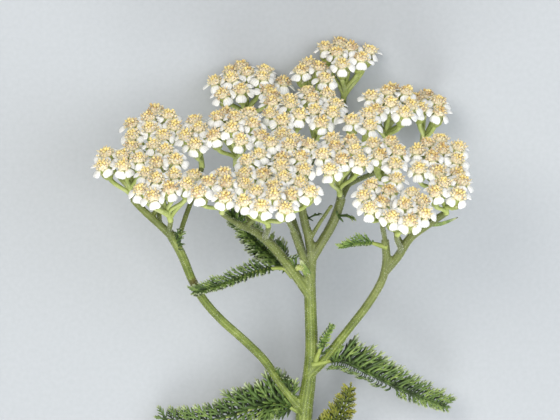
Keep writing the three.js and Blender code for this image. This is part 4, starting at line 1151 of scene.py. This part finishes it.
# %% Leaves
# `longest`, `slants` and `curls` are for the left and the right leaflets. `bare` is the share of the rib
# before the first leaflet, and `taper` is how much shorter the last ones are.
LEAVES = {
    "leaf_lower_right": {
        "line": [(9, 16.9, 14.2), (14.4, 17.6, 16.2), (21, 14.7, 15.6), (28, 11.1, 13.4), (35, 8.2, 10.6),
                 (41.2, 6, 7.8)],
        "facing": (0.1, 0.2, 1), "style": "strip", "pairs": 30, "longest": (8.4, 4.8), "bare": 0.12,
        "taper": 0.46, "slants": (0.62, 0.7), "curls": (0.2, 2.6)},
    "leaf_lower_left": {
        "line": [(4, 4.8, 6.4), (0, 6.6, 7.8), (-5, 6.2, 8.8), (-13, 3.6, 8.4), (-22, 1.8, 6.6),
                 (-31, 3.2, 3.8)],
        "facing": (-0.1, 0.15, 1), "style": "fan", "pairs": 14, "longest": (6.8, 10.4), "bare": 0.08,
        "taper": 0.56, "slants": (0.7, 0.66), "curls": (-0.3, 0.2)},
    "leaf_foot": {
        "line": [(6.8, -1.9, 4.6), (10.6, -0.6, 6.8), (13.8, 2.6, 9), (15.9, 6.8, 11.2), (17, 11.2, 13)],
        "facing": (-0.2, -0.1, 1), "style": "fan", "pairs": 12, "longest": (7.6, 6.8), "bare": 0.06,
        "taper": 0.64, "slants": (0.75, 0.75), "curls": (0.0, 0.0)},
    "leaf_middle": {
        "line": [(1.4, 40.6, 26.2), (-2.8, 40.6, 29.4), (-8.4, 39.2, 32.4), (-14, 37.0, 33.4),
                 (-18.6, 35.4, 33.4), (-21.4, 34.7, 32.8)],
        "facing": (-0.2, 0.3, 1), "style": "strip", "pairs": 24, "longest": (3.2, 4.9), "bare": 0.2,
        "taper": 0.36, "slants": (0.95, 0.84), "curls": (0.3, 0.3)},
    "leaf_middle_back": {
        "line": [(1.6, 39.6, 22.6), (-2, 43.2, 24.8), (-6, 47, 28.2), (-10, 51, 32.6), (-13.2, 55, 37.4)],
        "facing": (-0.2, 0.3, 1), "style": "strip", "pairs": 24, "longest": (7.6, 7.4), "bare": 0.06,
        "taper": 0.3, "slants": (1.1, 0.92), "curls": (0.1, 0.1)},
    "leaf_upper_right": {
        "line": [(24.2, 46.3, 40.4), (21.8, 46.9, 40.8), (18, 46.6, 41), (14.2, 45.7, 40.8)],
        "facing": (0, 0.4, 1), "style": "strip", "pairs": 10, "longest": (1.9, 4.0), "bare": 0.3,
        "taper": 0.5, "slants": (1.0, 0.95), "curls": (0.3, 0.3)},
    "leaf_axil": {
        "line": [(8.8, 18.7, 15), (10.3, 22.8, 18.8), (12.4, 26.8, 22.2)],
        "facing": (0.3, -0.3, 1), "style": "strip", "pairs": 9, "longest": (2.8, 3.0), "bare": 0.25,
        "taper": 0.4, "slants": (1.0, 1.0), "curls": (0.2, 0.2)},
}


def frame_at(spans, facing, share):
    """The point on a leaf's rib, and the rib's direction, side and normal there."""
    along = heading(spans, share)
    side = unit(np.cross(along, facing))
    return on_line(spans, share), along, side, np.cross(side, along)


def bent_leaflet(kind, root, ahead, side, up, length, curl):
    """A leaflet's points, grown to a length and bent up or down along it by curl, in radians."""
    model = LEAFLETS[kind]
    curl = curl if abs(curl) > 0.01 else 0.01
    x, y, z = (model["co"] / model["long"]).T
    turn = curl * x
    along = np.sin(turn) / curl - z * np.sin(turn)
    over = (1 - np.cos(turn)) / curl + z * np.cos(turn)
    return root + length * (np.outer(along, ahead) + np.outer(y, side) + np.outer(over, up))


# %% Leaflets along each rib, in an upper and a lower layer, the lower one darkened with painted shade
SHORT_BELOW = 3.2                        # leaflets under this length are of the short kind
ROLLED = 1.0                             # leaflets that curl more are rolled up beside the rib
ROLLED_SHARE = 0.55                      # and only up to this share of the rib
LAST_PAIR = 0.98                         # share of the rib at which the last pair stands
TILTS, RISES = (0.22, -0.23), (0.3, -0.1)       # tilt and height above the rib in either layer
# The second number lowers the tint of the lower layer, which paints shade on it under the upper layer.
LOWER_SHORTER, LOWER_PAINTED_SHADE = 0.12, 1.1
OVER_RIB = 0.2                           # how far a leaflet's foot reaches over the rib


def grow_leaflets(number, leaf, spans, facing):
    """All leaflets of a leaf but the last, as sets of points and tints for each kind."""
    grown = {kind: ([], []) for kind in LEAFLETS}
    for layer in (0, 1):
        for k in range(1, leaf["pairs"] + 1):
            share = (k - 0.5 - 0.5 * layer) / leaf["pairs"]
            swell = min(1, 0.8 + 2.5 * share) * (1 - leaf["taper"] * share ** 1.3) * (1 - LOWER_SHORTER * layer)
            rib_share = leaf["bare"] + (LAST_PAIR - leaf["bare"]) * share
            at, along, side, normal = frame_at(spans, facing, rib_share)
            for hand, sign in enumerate((-1, 1)):
                seed = k * sign + 60 * layer
                vary = 0.88 + 0.24 * draw(number * 7 + sign, k + 60 * layer)
                reach = leaf["longest"][hand] * swell * vary
                slant = leaf["slants"][hand] + 0.3 * (share - 0.5) + jitter(0.24, number + 9, seed)
                tilt = TILTS[layer] + jitter(0.3, number + 19, seed)
                ahead = along * math.sin(slant) + side * sign * math.cos(slant)
                ahead = unit(ahead + normal * tilt)
                across = unit(np.cross(normal, ahead)) * sign
                above = np.cross(ahead, across) * sign
                root = at + normal * RISES[layer] - ahead * OVER_RIB
                curl = leaf["curls"][hand] + jitter(0.4, number + 29, k * sign)
                if abs(curl) > ROLLED and share < ROLLED_SHARE:
                    across, above = above, unit(ahead * ahead.dot(along) - along)
                elif abs(curl) > ROLLED:
                    curl = -0.3
                kind = leaf["style"] if reach > SHORT_BELOW else "short"
                points, tints = grown[kind]
                points.append(bent_leaflet(kind, root, ahead, across, above, reach, curl))
                # The lower layer's tint is lowered as painted shade.
                tints.append(0.75 * draw(number + 39, k * sign) + 0.25 - LOWER_PAINTED_SHADE * layer)
    return grown


LEAF_FINISHES = {"leaf_foot": young_blade, "leaf_upper_right": fresh_blade, "leaf_axil": fresh_blade}
IN_STEM = 1.6                            # how far a leaf's petiole starts inside the stem
PETIOLE_RADII, RIB_RADII = (0.8, 0.62), (0.38, 0.16)

for number, (name, leaf) in enumerate(LEAVES.items()):
    line = leaf["line"]
    spans = smooth_line(line)
    facing = unit(np.array(leaf["facing"], float))
    grown = grow_leaflets(number, leaf, spans, facing)
    points, tints = grown["short"]
    points.append(bent_leaflet("short", *frame_at(spans, facing, 0.96), 0.3 * max(leaf["longest"]), 0.1))
    tints.append(0.6)
    groups = [(LEAFLETS[kind], *lists) for kind, lists in grown.items() if lists[0]]
    blade = copies(name.replace("leaf_", "comb_leaf_"), LEAF_FINISHES.get(name, leaf_blade), groups)
    foot = np.array(line[0]) - IN_STEM * heading(spans, 0)
    radii = np.concatenate((PETIOLE_RADII, np.linspace(*RIB_RADII, len(line) - 1)))
    join(blade, tubes(f"{name}_rib", leaf_rib, [(smooth_line([foot] + line), radii)], 1, 8))
    keep(blade, [name])
    print(name, len(blade.data.polygons), "faces")

# %% [markdown]
# ### Tufts in the axils
#
# Where a branch leaves the stem, a few lobes of an undeveloped leaf stand in the fork, and beside one of
# them a knot of young buds. They are the leaflet and the cup again, smaller.

# %% Tufts, each lobe from its root to its tip, and buds
TUFTS = [
    ((-26.2, 46.4, 38.4), (-24, 49.6, 40.4)), ((-26, 46.8, 38.6), (-23.6, 51.4, 41.6)),
    ((-26, 45.8, 38), (-23.4, 47.6, 39.6)), ((-26.2, 47.2, 38.8), (-25, 52.2, 42)),
    ((-25.8, 45.2, 37.6), (-23.8, 45.8, 38.6)), ((6.4, 53, 33), (10.4, 55.4, 35.6)),
    ((13.6, 53.6, 33), (19.6, 54.6, 38)), ((3.2, 40.6, 27.4), (1.6, 45.6, 31.4)),
    ((3.4, 41, 27.6), (3.4, 46, 31.6)), ((9.6, 19.4, 15.6), (11, 23.4, 18.6)),
    ((9.8, 19.2, 15.6), (12.6, 22, 17.4)), ((9.4, 19.4, 15.4), (9.4, 22.6, 17.6)),
    ((-0.4, 13, 12), (-1.6, 17.6, 15.2)), ((1.4, 10, 10), (0, 15.6, 13.4)),
    ((1.8, 9.6, 9.8), (1.6, 15.2, 13)), ((2.6, 8.8, 9.2), (4, 12.6, 11.4)),
]
BUD_KNOT = np.array((4.3, 40.9, 28.2))
BUD_TINTS = [0.9, 0.5, 1.0, 0.7, 0.8]
BUD_SIZE = 0.42                          # as a share of a grown cup

places = []
for root, tip in TUFTS:
    root, tip = np.array(root), np.array(tip)
    ahead = unit(tip - root)
    up = unit(FRONT - ahead * ahead.dot(FRONT))
    length = 1.15 * np.linalg.norm(tip - root)
    places.append(bent_leaflet("strip", root, ahead, np.cross(up, ahead), up, length, 0.8))
tints = [draw(i, 8) for i in range(len(TUFTS))]
keep(copies("axil_tufts", leaf_blade, [(LEAFLETS["strip"], places, tints)]), ["stem"])

places = []
for i in range(len(BUD_TINTS)):
    lean = unit(FRONT * 0.8 + AXIS * 0.7 + 0.6 * np.array((math.cos(2.4 * i), math.sin(2.4 * i), 0.0)))
    u, v = cross_pair(lean)
    at = BUD_KNOT + lean * 0.5 + 0.3 * u * math.cos(i)
    places.append(matrix(u * BUD_SIZE, v * BUD_SIZE, lean * BUD_SIZE, at))
keep(copies("axil_buds", cup_scale, [(cup_model, places, BUD_TINTS)]), ["stem"])
print("tufts:", len(TUFTS), "and a knot of", len(places), "buds")

# %% [markdown]
# ## Hairs
#
# Yarrow's stems and pedicels carry short white hairs. They are too fine for a texture to show at an edge,
# where the eye finds them as a pale fringe. So thousands of thin three-sided spikes stand on the skin,
# spread by area.

# %% Model of a hair, and a sowing over a skin
STEM_HAIRS, SPRAY_HAIRS = 2.4, 0.7       # to a square millimetre
STEM_HAIR, SPRAY_HAIR = 0.36, 0.3        # mean length
HAIR_RADIUS = 0.028
HAIR_LEAN = 0.35
CLEAR_OF_PAPER = 0.3                     # hairs below this height would be pressed flat

bpy.ops.mesh.primitive_cone_add(vertices=3, radius1=HAIR_RADIUS, radius2=0, depth=1.0, location=(0, 0, 0.5))
bpy.ops.object.transform_apply(location=True, rotation=False, scale=False)
hair_model = read_model(bpy.context.object)


def sow(skins, per_mm2, seed, length):
    """Places for hairs on some pieces: so many to a square millimetre, leaning a little any way."""
    random = np.random.default_rng(seed)
    places = []
    for skin in skins:
        mesh = skin.data
        mesh.calc_loop_triangles()
        corners = np.empty(len(mesh.loop_triangles) * 3, np.int32)
        mesh.loop_triangles.foreach_get("vertices", corners)
        co = np.empty(len(mesh.vertices) * 3)
        mesh.vertices.foreach_get("co", co)
        a, b, c = (co.reshape(-1, 3) / MM + ORIGIN)[corners.reshape(-1, 3)].transpose(1, 0, 2)
        normal = np.cross(b - a, c - a)
        area = np.linalg.norm(normal, axis=1) / 2
        count = int(area.sum() * per_mm2)
        chosen = random.choice(len(area), count, p=area / area.sum())
        s, t = random.random((2, count, 1))
        s, t = np.where(s + t > 1, 1 - s, s), np.where(s + t > 1, 1 - t, t)
        at = a[chosen] + (b - a)[chosen] * s + (c - a)[chosen] * t
        up = normal[chosen] / np.maximum(2 * area[chosen][:, None], 1e-9)
        up += random.normal(0, HAIR_LEAN, (count, 3))
        up /= np.linalg.norm(up, axis=1)[:, None]
        side = np.cross(up, random.normal(0, 1, (count, 3)))
        side /= np.linalg.norm(side, axis=1)[:, None]
        tall = length * (0.6 + 0.8 * random.random((count, 1)))
        places.append(np.stack((side, np.cross(up, side), up * tall, at), axis=2))
    places = np.concatenate(places)
    return places[places[:, 2, 3] > CLEAR_OF_PAPER]


stem_hairs = sow([stem], STEM_HAIRS, 11, STEM_HAIR)
keep(copies("stem_hairs", hair_wall, [(hair_model, stem_hairs, 0.0)]), ["stem"])
spray_hairs = sow([spray["greens"] for spray in sprays], SPRAY_HAIRS, 12, SPRAY_HAIR)
nodes = [spray["node"] for spray in sprays]
keep(copies("pedicel_hairs", hair_wall, [(hair_model, spray_hairs, 0.0)]), nodes)
print("hairs:", len(stem_hairs), "on the stem and", len(spray_hairs), "on the sprays")

# %% Sizes, and the last line
meshes = [o for o in bpy.data.objects if o.type == "MESH"]
shown = [o for o in meshes if not o.get("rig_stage") and not o.get("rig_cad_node")]
print("pieces:", len(shown), "triangles:", sum(len(p.vertices) - 2 for o in shown for p in o.data.polygons))
